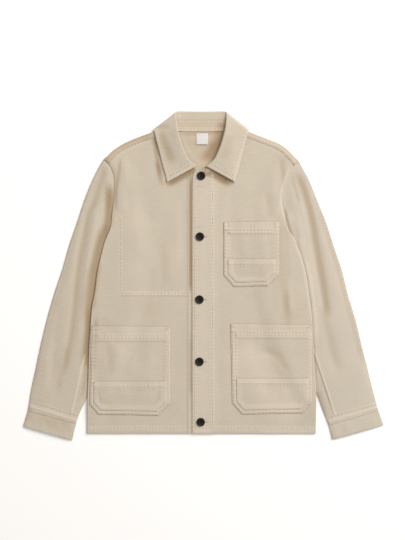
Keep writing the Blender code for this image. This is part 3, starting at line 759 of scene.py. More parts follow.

# %% [markdown]
# ## Twill
#
# In twill each weft thread passes over two or three warp threads, one step further along in the next row,
# which gives the diagonal wale. The cloth was dyed and washed after sewing, so the thick edges and seams
# rubbed paler. Each needle row is a thin groove with painted shade in it; folds and edges get painted shade
# and light.

# %% The twill finish
WALE = 0.0019              # from one diagonal wale to the next
WALE_ANGLE = math.radians(56)
THREAD_STEP = 0.0012       # from one weft thread to the next, along the wale
BAND = 0.0051              # broader diagonal bands of slightly different dye
PAINTED_CREVICE_SHADE = (0.30, 0.205, 0.125)      # colour deep in a needle row or a fold
PAINTED_SHADE_SHARES = (0.70, 0.60, 0.48)         # a place in painted shade keeps these shares of the cloth's colour
# The rubbed band is paler wear; the needle row and the crease lines get painted shade.
RUBBED_WIDTH, VALLEY_WIDTH, CREASE_WIDTH = 3.7, 1.15, 1.5      # millimetres from the line
RUBBED_SHARE, NEEDLE_ROW_SHADE_SHARE, PAINTED_CREASE_SHARE = 0.55, 0.38, 0.30
STREAK_TONE, WALE_TONE, GRAIN_TONE, MOTTLE_TONE = 0.40, 0.14, 0.34, 0.50     # what each adds to the tone
RELIEF_DEPTH = 0.0007
DARK_SHARE, LIGHT_SHARE = 0.87, 1.12       # the darkest and lightest cloth, against its colour
TAU = 2 * math.pi


def twill(name, colour, rubbed_and_lit, contrast=1.0, bands=0.16):
    """Garment-dyed twill with wale, streaks and paler puckered seams; painted shade and light from the
    marks.
    """
    finish = Finish(name, colour, 0.86, sheen=0.1)
    cut = finish.node("ShaderNodeUVMap", {"uv_map": "UVMap"}, {})
    gap, run, fold, shade = [finish.node("ShaderNodeAttribute", {"attribute_name": mark}, {}, 2)
                             for mark in MARKS]
    across = finish.node("ShaderNodeSeparateXYZ", {}, {"Vector": cut})
    up = Strand(finish, across.socket.node.outputs[1])
    wander = finish.noise(cut, 55.0) * 0.0016
    over = across * math.sin(WALE_ANGLE) - up * math.cos(WALE_ANGLE) + wander
    along = across * math.cos(WALE_ANGLE) + up * math.sin(WALE_ANGLE)
    wale = finish.maths("SINE", over * (TAU / WALE)) * 0.5 + 0.5
    thread = finish.maths("SINE", along * (TAU / THREAD_STEP))
    band = finish.maths("SINE", over * (TAU / BAND) + finish.noise(cut, 30.0) * 5) * 0.5 + 0.5
    streak = finish.noise(finish.node("ShaderNodeMapping", {}, {
        "Vector": cut, "Rotation": (0, 0, -WALE_ANGLE), "Scale": (38.0, 260.0, 1.0)}), 1.0, 1.0)
    grain = finish.noise(cut, 420.0, 1.0)
    mottle = finish.noise(cut, 14.0, 3.0)
    wave = finish.maths("SINE", run * (TAU / PUCKER_LENGTH) + finish.noise(cut, 70.0) * 6) * 0.5 + 0.5
    rubbed = finish.bell(gap, RUBBED_WIDTH) * (0.35 + 0.65 * wave) * (0.4 + 1.2 * finish.noise(cut, 26.0))
    valley = finish.bell(gap, VALLEY_WIDTH)
    painted_crease = finish.bell(fold, CREASE_WIDTH)
    tone = 0.5 + contrast * ((streak - 0.5) * STREAK_TONE + (band - 0.5) * bands + (wale - 0.5) * WALE_TONE
                             + (grain - 0.5) * GRAIN_TONE + (mottle - 0.5) * MOTTLE_TONE)
    dark = tuple(channel * DARK_SHARE for channel in colour) + (1,)
    light = tuple(min(1.0, channel * LIGHT_SHARE) for channel in colour) + (1,)
    # The shade mark paints shade towards these shares, paints light when negative, and paints the deep
    # shade of a fold above 1.
    painted_shade_colour = tuple(channel * factor for channel, factor in zip(colour, PAINTED_SHADE_SHARES)) + (1,)
    body = finish.mix(shade, finish.mix(tone, dark, light), painted_shade_colour)
    with_painted_light = finish.mix(shade * -1, body, (*rubbed_and_lit, 1))
    with_painted_deep_shade = finish.mix(shade - 1, with_painted_light, (*PAINTED_CREVICE_SHADE, 1))
    worn = finish.mix(rubbed * RUBBED_SHARE, with_painted_deep_shade, (*rubbed_and_lit, 1))
    # Painted shade in the needle row's groove and along the painted crease lines.
    sewn = finish.mix(valley * NEEDLE_ROW_SHADE_SHARE, worn, (*PAINTED_CREVICE_SHADE, 1))
    with_painted_creases = finish.mix(painted_crease * PAINTED_CREASE_SHARE, sewn, (*PAINTED_CREVICE_SHADE, 1))
    relief = (wale * (0.75 + 0.25 * thread) * 0.30 + grain * 0.16 + band * 0.10
              + wave * finish.bell(gap, 3.8) * 0.55 - valley * 0.50)
    return finish.set(Base_Color=with_painted_creases, Normal=finish.bump(relief, RELIEF_DEPTH),
                      Roughness=0.80 + 0.12 * mottle)


TWILL_COLOUR = (0.592, 0.520, 0.416)
TWILL_RUBBED_AND_LIT = (0.735, 0.645, 0.535)
twill_outside = twill("twill", TWILL_COLOUR, TWILL_RUBBED_AND_LIT)
twill_banded = twill("twill_banded", TWILL_COLOUR, TWILL_RUBBED_AND_LIT, bands=0.62)
twill_plain = twill("twill_plain", (0.600, 0.534, 0.440), TWILL_RUBBED_AND_LIT, contrast=0.7, bands=0.05)
twill_inside = twill("twill_inside", (0.585, 0.485, 0.365), TWILL_RUBBED_AND_LIT, contrast=0.8)
print("twill nodes:", len(twill_outside.node_tree.nodes))

# %% Thread, label and button finishes
thread_finish = Finish("thread", (0.63, 0.53, 0.41), 0.6, sheen=0.1)
ply = thread_finish.node("ShaderNodeTexCoord", {}, {}, 3)
ply_wave = thread_finish.noise(ply, 1800.0)
PLY_DARK, PLY_LIGHT = (0.55, 0.45, 0.34, 1), (0.72, 0.62, 0.50, 1)
thread = thread_finish.set(Base_Color=thread_finish.mix(ply_wave, PLY_DARK, PLY_LIGHT))
buttonhole_thread = Finish("buttonhole_thread", (0.50, 0.40, 0.25), 0.65, sheen=0.1).material

label_finish = Finish("label_satin", (0.83, 0.82, 0.79), 0.55, sheen=0.1)
label_cut = label_finish.node("ShaderNodeUVMap", {"uv_map": "UVMap"}, {})
label_place = label_finish.node("ShaderNodeSeparateXYZ", {}, {"Vector": label_cut})
RIB = 0.0007               # from one rib of the satin to the next
ribs = label_finish.maths("SINE", label_place * (TAU / RIB)) * 0.5 + 0.5
RIB_DARK, RIB_LIGHT = (0.78, 0.77, 0.74, 1), (0.86, 0.85, 0.82, 1)
label_weave = label_finish.set(Base_Color=label_finish.mix(ribs, RIB_DARK, RIB_LIGHT),
                               Normal=label_finish.bump(ribs, 0.0002))

button_finish = Finish("button_black", (0.018, 0.017, 0.016), 0.5)
button_finish.shader.inputs["Specular IOR Level"].default_value = 0.2
button_place = button_finish.node("ShaderNodeTexCoord", {}, {}, 3)
scuffs = button_finish.noise(button_place, 900.0, 4.0)
MOULDED_BLACK, SCUFFED_BLACK = (0.008, 0.007, 0.006, 1), (0.020, 0.018, 0.016, 1)
button_black = button_finish.set(Roughness=0.48 + 0.20 * scuffs,
                                 Base_Color=button_finish.mix(scuffs, MOULDED_BLACK, SCUFFED_BLACK))
print("button nodes:", len(button_black.node_tree.nodes))

# %% [markdown]
# ## Stitches
#
# Topstitching is thick thread that dips into the cloth at each needle hole. A stretched low icosphere is
# enough for one stitch. A row of them is laid along a seam by dropping each one on to the cloth below it.

# %% Rows of stitches
STITCH = 2.5               # length of one stitch
STITCH_STEP = 3.1          # from one needle hole to the next
THREAD_WIDTH = 0.55


class Cloth:
    """A piece's upper face, to drop stitches on, and the mesh that gathers them."""

    def __init__(self, mesh, wall=WALL):
        self.tree = BVHTree.FromBMesh(mesh)
        self.rise = wall / 2 * MM
        self.stitches = bmesh.new()
        self.count = 0

    def spot(self, x, y):
        """Point of the upper face above a flat place, and the way the face looks."""
        place, facing, _, _ = self.tree.ray_cast(Vector((x * MM, y * MM, 0.1)), Vector((0, 0, -1)))
        if place is None:
            return None, None
        if facing.z < 0:
            facing = -facing
        return place + facing * self.rise, facing

    def stitch(self, x, y, direction, length=STITCH, width=THREAD_WIDTH):
        """One stitch, centred on the cloth at x, y and lying along a flat direction."""
        place, facing = self.spot(x, y)
        if place is None:
            return
        along = Vector((direction.x, direction.y, 0))
        along = (along - facing * (along @ facing)).normalized()
        side = facing.cross(along)
        made = bmesh.ops.create_icosphere(self.stitches, subdivisions=1, radius=1)
        for vert in made["verts"]:
            local = vert.co.copy()
            vert.co = (place + along * (local.x * length / 2 * MM) + side * (local.y * width / 2 * MM)
                       + facing * (local.z * width / 2 * MM))
        self.count += 1

    def row(self, *points, step=STITCH_STEP):
        """A row of stitches through the points."""
        points = [Vector(point) for point in points]
        for start, end in zip(points, points[1:]):
            run = end - start
            count = max(1, round(run.length / step))
            for number in range(count):
                at = start + run * ((number + 0.5) / count)
                self.stitch(at.x, at.y, run)

    def bartack(self, start, end, width=2.2, step=0.75):
        """A bar of close stitches across the line from start to end."""
        start, end = Vector(start), Vector(end)
        run = end - start
        across = Vector((-run.y, run.x)).normalized()
        count = round(run.length / step)
        for number in range(count + 1):
            at = start + run * (number / count)
            self.stitch(at.x, at.y, across, length=width, width=0.6)

    def gather(self, name, finish=None):
        """All the stitches as one piece."""
        bmesh.ops.recalc_face_normals(self.stitches, faces=self.stitches.faces)
        made = add_piece(name, self.stitches, finish or thread, wall=None)
        print(name, self.count, "stitches")
        return made


print("a stitch every", STITCH_STEP, "mm")

# %% [markdown]
# ## The two fronts
#
# Each front is one panel from the placket to the side fold, and from the hem to the neckline and shoulder.
# At the side fold it rolls down to meet the back. The hem and the placket are turned under, so the cloth is
# thicker there, with a step where the turned layer ends.

# %% Seams of the fronts
HEM_STITCH_Y = -358.5
FACING_X = 21              # where the placket's facing ends and its second row runs
PLACKET_STITCH = [(-20.5, HEM_STITCH_Y), (-20.5, 80), (-20, 214), (-18.3, 236), (-14.5, 246), (-10, 248),
                  (12, 246)]
right_front_seams = [
    seam((-37, HEM_Y), (-37, 242)),
    seam((-262, HEM_STITCH_Y), (-20, HEM_STITCH_Y)),
    seam((-196, 138), (-195.5, 40), (-194, -41.5), (-60, -42), (-24, -42)),
]
left_front_seams = [
    seam(*PLACKET_STITCH),
    seam((FACING_X, HEM_Y), (FACING_X, 240)),
    seam((-20, HEM_STITCH_Y), (255, HEM_STITCH_Y)),
]
marked_seams = {"right": right_front_seams[1:], "left": left_front_seams}
# Lines of painted shade where another layer's edge lies on the front: round each pocket, and beside the
# placket
painted_shadow_lines = {
    "right": [right_front_seams[0],
              seam((-192, -47), (-40, -47.6)),
              seam(*RIGHT_POCKET),
              seam((-262, -117.5), (-79, -119.5)),
              seam((-27.6, HEM_Y), (-27.6, 80), (-27, 215), (-25.5, 236), (-22, 249))],
    "left": [seam(*LEFT_POCKET),
             seam((65, -112.5), (253, -115.5)),
             seam(*CHEST_POCKET),
             seam((49, 126.8), (178, 127.8))],
}
TURNED_RISE = 0.45         # a turned edge's extra height
TURNED_STEP = 2.5          # width of the step where it ends
UNDERLAP_TURN_X = -39      # where the right front's own facing ends


def turned_edges(x, y):
    """Extra height where the hem and the facings are turned under."""
    hem = 1 - smooth((y - HEM_STITCH_Y) / TURNED_STEP)
    if x > -30:
        facing = 1 - smooth((x - FACING_X) / TURNED_STEP)
    else:
        facing = smooth((x - UNDERLAP_TURN_X) / TURNED_STEP)
    return TURNED_RISE * max(hem, facing)


print("seams of the fronts:", len(right_front_seams) + len(left_front_seams))


# %% Front panels
FINE = 2.6                 # size of a grid's cells
NECK_SHARE = 0.4           # share of the columns that end at the neckline, the rest at the shoulder
ROLL_STEPS = 5
ROLL_LENGTH = SIDE_ROLL * SIDE_ANGLE
UNDER_STRIP = 5.0          # how far inside the shoulder fold the front ends, below the strip
HEAD_INSET = 2.5           # and how far inside the armhole its top corner lies
CENTRE_TOP_Y = 251         # top of the right front's centre edge
FRONT_WIDTH, FRONT_LENGTH = 285, 630       # sizes for the number of cells
ROLLED_EDGE_PAINTED_SHADE = {"right": 1.0, "left": -0.4}       # painted shade, or painted light if negative


def side_angle(y):
    """The side fold opens out flat along the armhole."""
    return SIDE_ANGLE * (1 - smooth((y - 92) / 30))


def rolled(distance, radius, angle):
    """Outward run and drop of a strip that starts level and bends through an angle."""
    if angle < 1e-3:
        return distance, 0.0
    bend = min(distance / radius, angle)
    rest = distance - radius * bend
    run = radius * math.sin(bend) + rest * math.cos(bend)
    drop = radius * (1 - math.cos(bend)) + rest * math.sin(bend)
    return run, drop


def front_edges(side):
    """Centre edge, side fold and top edge of one front."""
    inward = 1 if side == "right" else -1
    if side == "right":
        near = curve([(UNDERLAP_X, HEM_Y), (UNDERLAP_X, 0), (UNDERLAP_X, CENTRE_TOP_Y)])
        neck = curve([(UNDERLAP_X, CENTRE_TOP_Y)] + RIGHT_NECK)
    else:
        near = curve(PLACKET_EDGE)
        neck = curve(PLACKET_TOP + [(2 * COLLAR_CENTRE - x, y) for x, y in RIGHT_NECK[1:]])
    side_table = RIGHT_SIDE if side == "right" else LEFT_SIDE
    shoulder_table = RIGHT_SHOULDER if side == "right" else LEFT_SHOULDER
    far = curve([(x + inward * (SIDE_ROLL + HALF), y) for x, y in side_table[:-1]]
                + [(side_table[-1][0] + inward * HEAD_INSET, side_table[-1][1] - HEAD_INSET)])
    under_strip = shifted(curve(shoulder_table[::-1]), UNDER_STRIP * inward)
    shoulder = curve([neck(1)] + [under_strip(share / 8) for share in range(1, 8)] + [far(1)])
    return near, far, joined((NECK_SHARE, neck), (1.0, shoulder))


def front_panel(side):
    """The fine grid of one front, with its rolled side fold."""
    inward = 1 if side == "right" else -1
    height = front_height if side == "right" else placket_height
    seams = right_front_seams if side == "right" else left_front_seams
    columns = shares([0, NECK_SHARE, 1], FRONT_WIDTH / FINE)
    rows = shares([0, 1], FRONT_LENGTH / FINE)
    flat = panel(*front_edges(side), columns, rows)
    last = len(columns) - 1

    def place(column, row):
        spot = flat(min(column, last), row)
        run, drop = 0.0, 0.0
        if column > last:
            run, drop = rolled(ROLL_LENGTH * (column - last) / ROLL_STEPS, SIDE_ROLL, side_angle(spot.y))
        rise = turned_edges(spot.x, spot.y) + pucker(*nearest_seam(seams, spot.x, spot.y))
        return spot.x - inward * run, spot.y, height(spot.x, spot.y) + rise - drop

    def seam_at(column, row):
        spot = flat(min(column, last), row)
        fold, _ = nearest_seam(painted_shadow_lines[side], spot.x, spot.y)
        # Painted shade and light from the body's list, with painted shade on the right front's rolled side
        # and painted light on the left's.
        shade = fold_sum(body_shades, spot.x, spot.y) + (ROLLED_EDGE_PAINTED_SHADE[side] if column > last else 0.0)
        return *nearest_seam(marked_seams[side], spot.x, spot.y), fold, shade

    return cloth_grid(last + ROLL_STEPS, len(rows) - 1, place, seam_at=seam_at)


front_meshes = {side: front_panel(side) for side in ("right", "left")}
for side, front_mesh in front_meshes.items():
    add_piece("front_" + side + "_cloth", front_mesh, twill_outside,
                             nodes=["front_" + side])
    print("front", side, len(front_mesh.faces), "faces", round(layer_area(front_mesh), 4), "m2")

# %% Stitches of the fronts
right_cloth = Cloth(front_meshes["right"])
right_cloth.row((-37, HEM_STITCH_Y), (-37, 242))
right_cloth.row((-262, HEM_STITCH_Y), (-28, HEM_STITCH_Y))
right_cloth.row((-196, 136), (-195.5, 40), (-194, -41.5), (-60, -42), (-28, -42))
right_cloth.bartack((-199, 139), (-193, 131))
right_cloth.bartack((-196.5, 118), (-194, 115))
left_cloth = Cloth(front_meshes["left"])
left_cloth.row(*PLACKET_STITCH)
left_cloth.row((FACING_X, HEM_STITCH_Y), (FACING_X, 240))
left_cloth.row((-20, HEM_STITCH_Y), (255, HEM_STITCH_Y))
front_stitches = {"right": right_cloth.gather("stitches_front_right"),
                  "left": left_cloth.gather("stitches_front_left")}
for side, front_mesh in front_meshes.items():
    layer_area(front_mesh)

# %% [markdown]
# ## Patch pockets
#
# A patch pocket is a flat piece with a turned top hem and two rows of topstitching round its other edges.
# A second patch doubles its lower part. Each is cut from a grid by planes along its edges, as with shears,
# and then raised on to the front: its edge is sewn down, and its middle stands a little proud.

# %% Stitching of the pockets
EDGE_STITCH = 2.6          # the two rows' distances from the edge
INNER_STITCH = 11.0
PATCH_INSET = 9.6          # the lower patch is sewn in under the pocket's side bands


def inset(corners, distance):
    """The outline moved inwards, left of its direction; the ends of the open top stay level."""
    lines = []
    for start, end in zip(corners, corners[1:]):
        start, end = Vector(start), Vector(end)
        run = (end - start).normalized()
        normal = Vector((-run.y, run.x)) * distance
        lines.append((start + normal, end + normal))
    moved = [lines[0][0]]
    for (a, b), (c, d) in zip(lines, lines[1:]):
        first, second = b - a, d - c
        t = ((c - a).cross(second)) / first.cross(second)
        moved.append(a + first * t)
    return moved + [lines[-1][1]]


def edge_distance(corners, x, y):
    """How far inside its sewn edges a point lies."""
    nearest = 1e3
    for start, end in zip(corners, corners[1:]):
        run_x, run_y = end[0] - start[0], end[1] - start[1]
        nearest = min(nearest, (run_x * (y - start[1]) - run_y * (x - start[0])) / math.hypot(run_x, run_y))
    return nearest


def below(corners, top):
    """The outline of the lower patch: the pocket's corners, cut off level at `top`."""
    sides = [corner for corner in corners if corner[1] < top]
    return [(sides[0][0], top)] + sides + [(sides[-1][0], top)]


chest_row = inset(CHEST_POCKET, INNER_STITCH)
print("inner row of the chest pocket:", round(chest_row[-1].x - chest_row[0].x, 1), "mm wide")

# %% Cutting and raising a patch
# hem: depth of the turned top; rise: height above the cloth below it; bulge: how far its middle stands
# proud; pressed: how far its edges are sewn down
Patch = namedtuple("Patch", "corners hem rise bulge pressed")


def cut_out(corners, cell=FINE):
    """A flat grid over the outline's box, cut along its edges."""
    xs = [corner[0] for corner in corners]
    ys = [corner[1] for corner in corners]
    wide, high = max(xs) - min(xs) + 2, max(ys) - min(ys) + 2
    mesh = cloth_grid(round(wide / cell), round(high / cell),
                      lambda i, j: (min(xs) - 1 + wide * i / round(wide / cell),
                                    min(ys) - 1 + high * j / round(high / cell), 0))
    middle = sum((Vector(corner) for corner in corners), Vector((0, 0))) / len(corners)
    for start, end in zip(corners, corners[1:] + corners[:1]):
        run = Vector(end) - Vector(start)
        outward = Vector((run.y, -run.x))
        if outward @ (Vector(start) - middle) < 0:
            outward.negate()
        bmesh.ops.bisect_plane(mesh, geom=mesh.verts[:] + mesh.edges[:] + mesh.faces[:], dist=1e-6,
                               plane_co=(start[0] * MM, start[1] * MM, 0),
                               plane_no=(outward.x, outward.y, 0), clear_outer=True)
    return mesh


PRESSED_EDGE = 2.4         # an edge is pressed down over this width
BAND_RISE, HEM_RISE, MOUTH_RISE = 0.35, 0.40, 0.5      # turned sides, turned top, and the open mouth
PALE_BAND = 0.22           # the thick hems rubbed paler
PATCH_EDGE_PAINTED_SHADE = 0.2           # and painted shade at the very edge


def patch_height(patch, x, y, ground):
    """Middle of a patch's wall above the panel below it."""
    top = patch.corners[0][1]
    inside = edge_distance(patch.corners, x, y)
    band = smooth(inside / 2.5) * (1 - smooth((inside - INNER_STITCH) / 3))
    hem = 1 - smooth((top - patch.hem - y) / 2.0)
    middle = smooth((inside - INNER_STITCH) / 40)
    swell = patch.bulge * middle * (1 + 1.2 * noise.noise(Vector((x / 34, y / 40, top / 90))))
    mouth = MOUTH_RISE * smooth((y - top + 30) / 30) * middle
    pressed = patch.pressed * (1 - smooth(inside / PRESSED_EDGE))
    return ground(x, y) + patch.rise - pressed + BAND_RISE * band + HEM_RISE * hem + swell + mouth


def make_patch(name, patch, ground, node, rows, folds, bars):
    """A pocket layer with its stitches and bartacks."""
    seams = [seam(*row) for row in rows]
    # Lines of painted shade: the given level lines, and one beside each bartack.
    shadow_beside_bars = [[(x + 1.7, y + 0.8) for x, y in bar] for bar in bars]
    painted_shadow_seams = [seam(*line) for line in folds + shadow_beside_bars]
    mesh = cut_out(patch.corners)
    layers = [mesh.verts.layers.float[mark] for mark in MARKS]
    for vert in mesh.verts:
        x, y = vert.co.x / MM, vert.co.y / MM
        gap, run = nearest_seam(seams, x, y)
        fold, _ = nearest_seam(painted_shadow_seams, x, y)
        inside = edge_distance(patch.corners, x, y)
        # Painted shade and light from the body's list, and painted shade at the pressed edge.
        shade = fold_sum(body_shades, x, y) + PATCH_EDGE_PAINTED_SHADE * (1 - smooth(inside / PRESSED_EDGE))
        shade -= PALE_BAND * (1 - smooth((inside - INNER_STITCH) / 2.5))
        shade -= PALE_BAND * smooth((y - patch.corners[0][1] + patch.hem) / 2.5)
        for layer, value in zip(layers, (gap, run, fold, shade)):
            vert[layer] = value
        vert.co.z = (patch_height(patch, x, y, ground) + pucker(gap, run, "pocket")) * MM
    settle_marks(mesh)
    area = layer_area(mesh)
    piece = add_piece(name + "_cloth", mesh, twill_outside, nodes=[node])
    cloth = Cloth(mesh)
    for row in rows:
        cloth.row(*row)
    for start, end in bars:
        cloth.bartack(start, end)
    stitches = cloth.gather("stitches_" + name)
    xs = [corner[0] for corner in patch.corners]
    ys = [corner[1] for corner in patch.corners]
    (max(xs) - min(xs) + 4) * MM
    (max(ys) - min(ys) + 10) * MM
    print(name, len(mesh.faces), "faces")


def level_row(corners, drop, ends):
    """A level row across a pocket, `drop` below its top and `ends` in from its sides."""
    top = corners[0][1] - drop
    return (corners[0][0] + ends, top), (corners[-1][0] - ends, top)


print("a patch is cut from cells of", FINE, "mm")

# %% The three pockets
# hem: how deep the top edge is turned under; stitches: how far below the top its rows run
# bar: both ends of a bartack, in from the side and down from the top
UPRIGHT_BAR, SLANTED_BAR = ((11, 1), (11, 12)), ((2, 2), (10, 10))
PATCH_HEM, PATCH_STITCH = 14, 12.5
pockets = [
    ("pocket_chest", CHEST_POCKET, CHEST_PATCH_TOP, placket_height, 28, (19, 26), UPRIGHT_BAR),
    ("pocket_lower_left", LEFT_POCKET, LEFT_PATCH_TOP, placket_height, 34, (20.5, 26.5), SLANTED_BAR),
    ("pocket_lower_right", RIGHT_POCKET, RIGHT_PATCH_TOP, front_height, 36, (23.5, 30), SLANTED_BAR),
]
for name, corners, patch_top, ground, hem, stitches, bar in pockets:
    pocket = Patch(corners, hem, PITCH, 0.9, 0.8)
    inner = inset(below(corners, patch_top), PATCH_INSET)
    rows = [inset(corners, EDGE_STITCH), inset(corners, INNER_STITCH)]
    rows += [level_row(corners, drop, 3) for drop in stitches]
    top = corners[0][1]
    bars = [[(edge_x + inward * across, top - drop) for across, drop in bar]
            for edge_x, inward in ((corners[0][0], 1), (corners[-1][0], -1))]
    # Painted shade lines along the lower edge of the turned top hem and just above the lower patch.
    make_patch(name, pocket, ground, name, rows,
               [level_row(corners, hem, INNER_STITCH), level_row(inner, -0.8, 1)], bars)

    def pocket_ground(x, y):
        return patch_height(pocket, x, y, ground)

    lower = Patch(inner, PATCH_HEM, 1.15, 0.6, 0.9)
    make_patch(name + "_patch", lower, pocket_ground, name + "_patch",
               [level_row(inner, PATCH_STITCH, 1)], [], [])

# %% [markdown]
# ## The back
#
# The back is one panel below everything else. Its side folds roll up to the fronts. At each shoulder it
# wraps over the fold and comes down as a narrow strip on top of the front, where the topstitched shoulder
# seam lies. What shows of it otherwise is its inside, through the neck.

# %% Back panel
BACK_NECK_AT = (0.36, 0.64)        # shares of the top edge where the neck starts and ends
UNROLLED_AT = 88           # this far from the collar's centre the shoulder fold opens out
SHOULDER_ARC_STEPS = 9
STRIP_STEPS = 5
BACK_CELL = 4.0
BACK_WIDTH, BACK_LENGTH = 520, 715         # sizes for the number of cells
BACK_CORNERS = (-228.5, 271.5), (221.5, 268.5)         # where armhole and shoulder meet
STRIP_PAINTED_SHADE = {"right": 0.35, "left": -0.4}    # painted shade, or painted light if negative


def back_edges():
    """Side folds and top edge of the back."""
    inset_by = SIDE_ROLL + HALF
    drop_in = SHOULDER_ROLL + HALF
    near = curve([(x + inset_by, y) for x, y in RIGHT_SIDE[:-1]] + [BACK_CORNERS[0]])
    far = curve([(x - inset_by, y) for x, y in LEFT_SIDE[:-1]] + [BACK_CORNERS[1]])
    right = shifted(curve(RIGHT_SHOULDER), -drop_in)
    left = shifted(curve(LEFT_SHOULDER[::-1]), -drop_in)
    right_line = curve([near(1)] + [right(share / 8) for share in range(1, 8)] + [BACK_NECK[0]])
    left_line = curve([BACK_NECK[-1]] + [left(share / 8) for share in range(1, 8)] + [far(1)])
    top = joined((BACK_NECK_AT[0], right_line), (BACK_NECK_AT[1], curve(BACK_NECK)), (1.0, left_line))
    return near, far, top


def over_shoulder(x, row):
    """Run and rise of the strip that bends back over the front, and opens out under the collar."""
    outside = abs(x - COLLAR_CENTRE) - UNROLLED_AT
    angle = math.pi * smooth(outside / 13)
    arc = 2.0 + (math.pi * SHOULDER_ROLL - 2.0) * smooth(outside / 13)
    strip = 0.5 + (SHOULDER_STRIP - 0.5) * smooth((outside - 13) / 9)
    if row <= SHOULDER_ARC_STEPS:
        distance = arc * row / SHOULDER_ARC_STEPS
    else:
        distance = arc + strip * (row - SHOULDER_ARC_STEPS) / STRIP_STEPS
    return rolled(distance, SHOULDER_ROLL, angle), max(0.0, arc + strip - distance), strip


def back_panel():
    """The fine back, with its side folds and shoulder strips."""
    near, far, top = back_edges()
    columns = shares([0, 0.30, *BACK_NECK_AT, 0.70, 1], BACK_WIDTH / BACK_CELL)
    rows = shares([0, 1], BACK_LENGTH / BACK_CELL)
    flat = panel(near, far, top, columns, rows)
    last, body_rows = len(columns) - 1, len(rows) - 1
    ahead = [top(min(1.0, u + 0.01)) - top(max(0.0, u - 0.01)) for u in columns]

    def spot_at(column, row):
        inner = min(max(column - ROLL_STEPS, 0), last)
        return inner, flat(inner, min(row, body_rows))

    def place(column, row):
        inner, spot = spot_at(column, row)
        x, y = spot
        strip_rise = 0.0
        if row > body_rows:
            outward = Vector((-ahead[inner].y, ahead[inner].x)).normalized()
            (run, strip_rise), from_edge, strip = over_shoulder(spot.x, row - body_rows)
            x += outward.x * run
            y += outward.y * run
            if strip > 5:
                down = smooth((row - body_rows - SHOULDER_ARC_STEPS * 0.7) / 3)
                on_front = front_height(x, y) + 0.85 + 0.30 * smooth(from_edge / 6) - back_height(x, y)
                strip_rise += (on_front - strip_rise) * down
                strip_rise += pucker(from_edge - EDGE_STITCH, inner * BACK_CELL, "shoulder")
        beyond = max(ROLL_STEPS - column, column - ROLL_STEPS - last, 0)
        run, rise = rolled(ROLL_LENGTH * beyond / ROLL_STEPS, SIDE_ROLL, side_angle(spot.y))
        inside = 0.5 * unevenness(x, y, 4.0) * smooth((350 - y) / 20) * smooth((y - 150) / 60)
        x += run if column > ROLL_STEPS else -run
        return x, y, back_height(x, y) + strip_rise + rise + max(inside, -0.3)

    def lay(column, row):
        _, spot = spot_at(column, row)
        return spot.x, spot.y + max(0, row - body_rows) * 1.5

    def seam_at(column, row):
        inner, spot = spot_at(column, row)
        # Inside the neck: painted shade and light from the neck's list. On the shoulder strips: painted
        # shade on the right, painted light on the left.
        if row <= body_rows:
            return *UNMARKED[:3], fold_sum(neck_shades, spot.x, spot.y) if spot.y > 200 else 0.0
        _, from_edge, strip = over_shoulder(spot.x, row - body_rows)
        if strip <= 5:
            return UNMARKED
        side = "right" if spot.x < 0 else "left"
        return abs(from_edge - EDGE_STITCH), inner * BACK_CELL, SEAM_REACH, STRIP_PAINTED_SHADE[side]

    return cloth_grid(last + 2 * ROLL_STEPS, body_rows + SHOULDER_ARC_STEPS + STRIP_STEPS, place, lay=lay,
                      seam_at=seam_at)


back_mesh = back_panel()
back = add_piece("back_cloth", back_mesh, twill_inside, nodes=["back"])
print("back", len(back_mesh.faces), "faces")

# %% Stitches along the shoulders
back_cloth = Cloth(back_mesh)
SEAM_INSIDE_FOLD = 9.2     # the shoulder seam's distance from the fold
for shoulder, turn in ((RIGHT_SHOULDER, -1), (LEFT_SHOULDER, 1)):
    line = shifted(curve(shoulder), turn * SEAM_INSIDE_FOLD)
    back_cloth.row(*[line(0.03 + 0.86 * step / 24) for step in range(25)])
back_stitches = back_cloth.gather("stitches_shoulders")
layer_area(back_mesh)

# %% [markdown]
# ## Sleeves and cuffs
#
# A sleeve laid flat is a tube pressed to two layers, so it is a closed ring of points carried from the cuff
# to the head: the upper layer with its long creases, a round fold at each side, and the lower layer on the
# surface. The cuff is a shorter ring of the same kind.

# %% Points round a sleeve
SLEEVE_ARC_ANGLES = [-90, -60, -30, 0, 30, 60, 90]
SLEEVE_TOPS = shares([0.02, 0.72], 44)[:-1] + shares([0.72, 0.94], 112)[:-1] + shares([0.94, 0.98], 44)
SLEEVE_BOTTOMS = shares([0.04, 0.96], 22)[::-1]
RING = len(SLEEVE_TOPS) + len(SLEEVE_BOTTOMS) + 2 * len(SLEEVE_ARC_ANGLES)
print("points round a sleeve:", RING)


# %% A flat tube of cloth
SLEEVE_AT_ARMHOLE = {"right": 0.95, "left": 0.30}      # the sleeve's head stands up beside the body
# painted shade on the round outer fold of each sleeve
SLEEVE_EDGE_PAINTED_SHADE = {"right": 0.3, "left": 0.25}
SHOULDER_Y = 262           # above this the sleeve lies beside the shoulder, not below the body's side
LOFT_SHARE = 1.3
LOWEST_TOP = 1.2           # the upper layer never sinks below this much over the lower one
RIDGE_RISE, RIDGE_WIDTH = 0.5, 2.4     # a felled seam
PALE_RIDGE, PALE_RIDGE_WIDTH = 0.75, 2.2


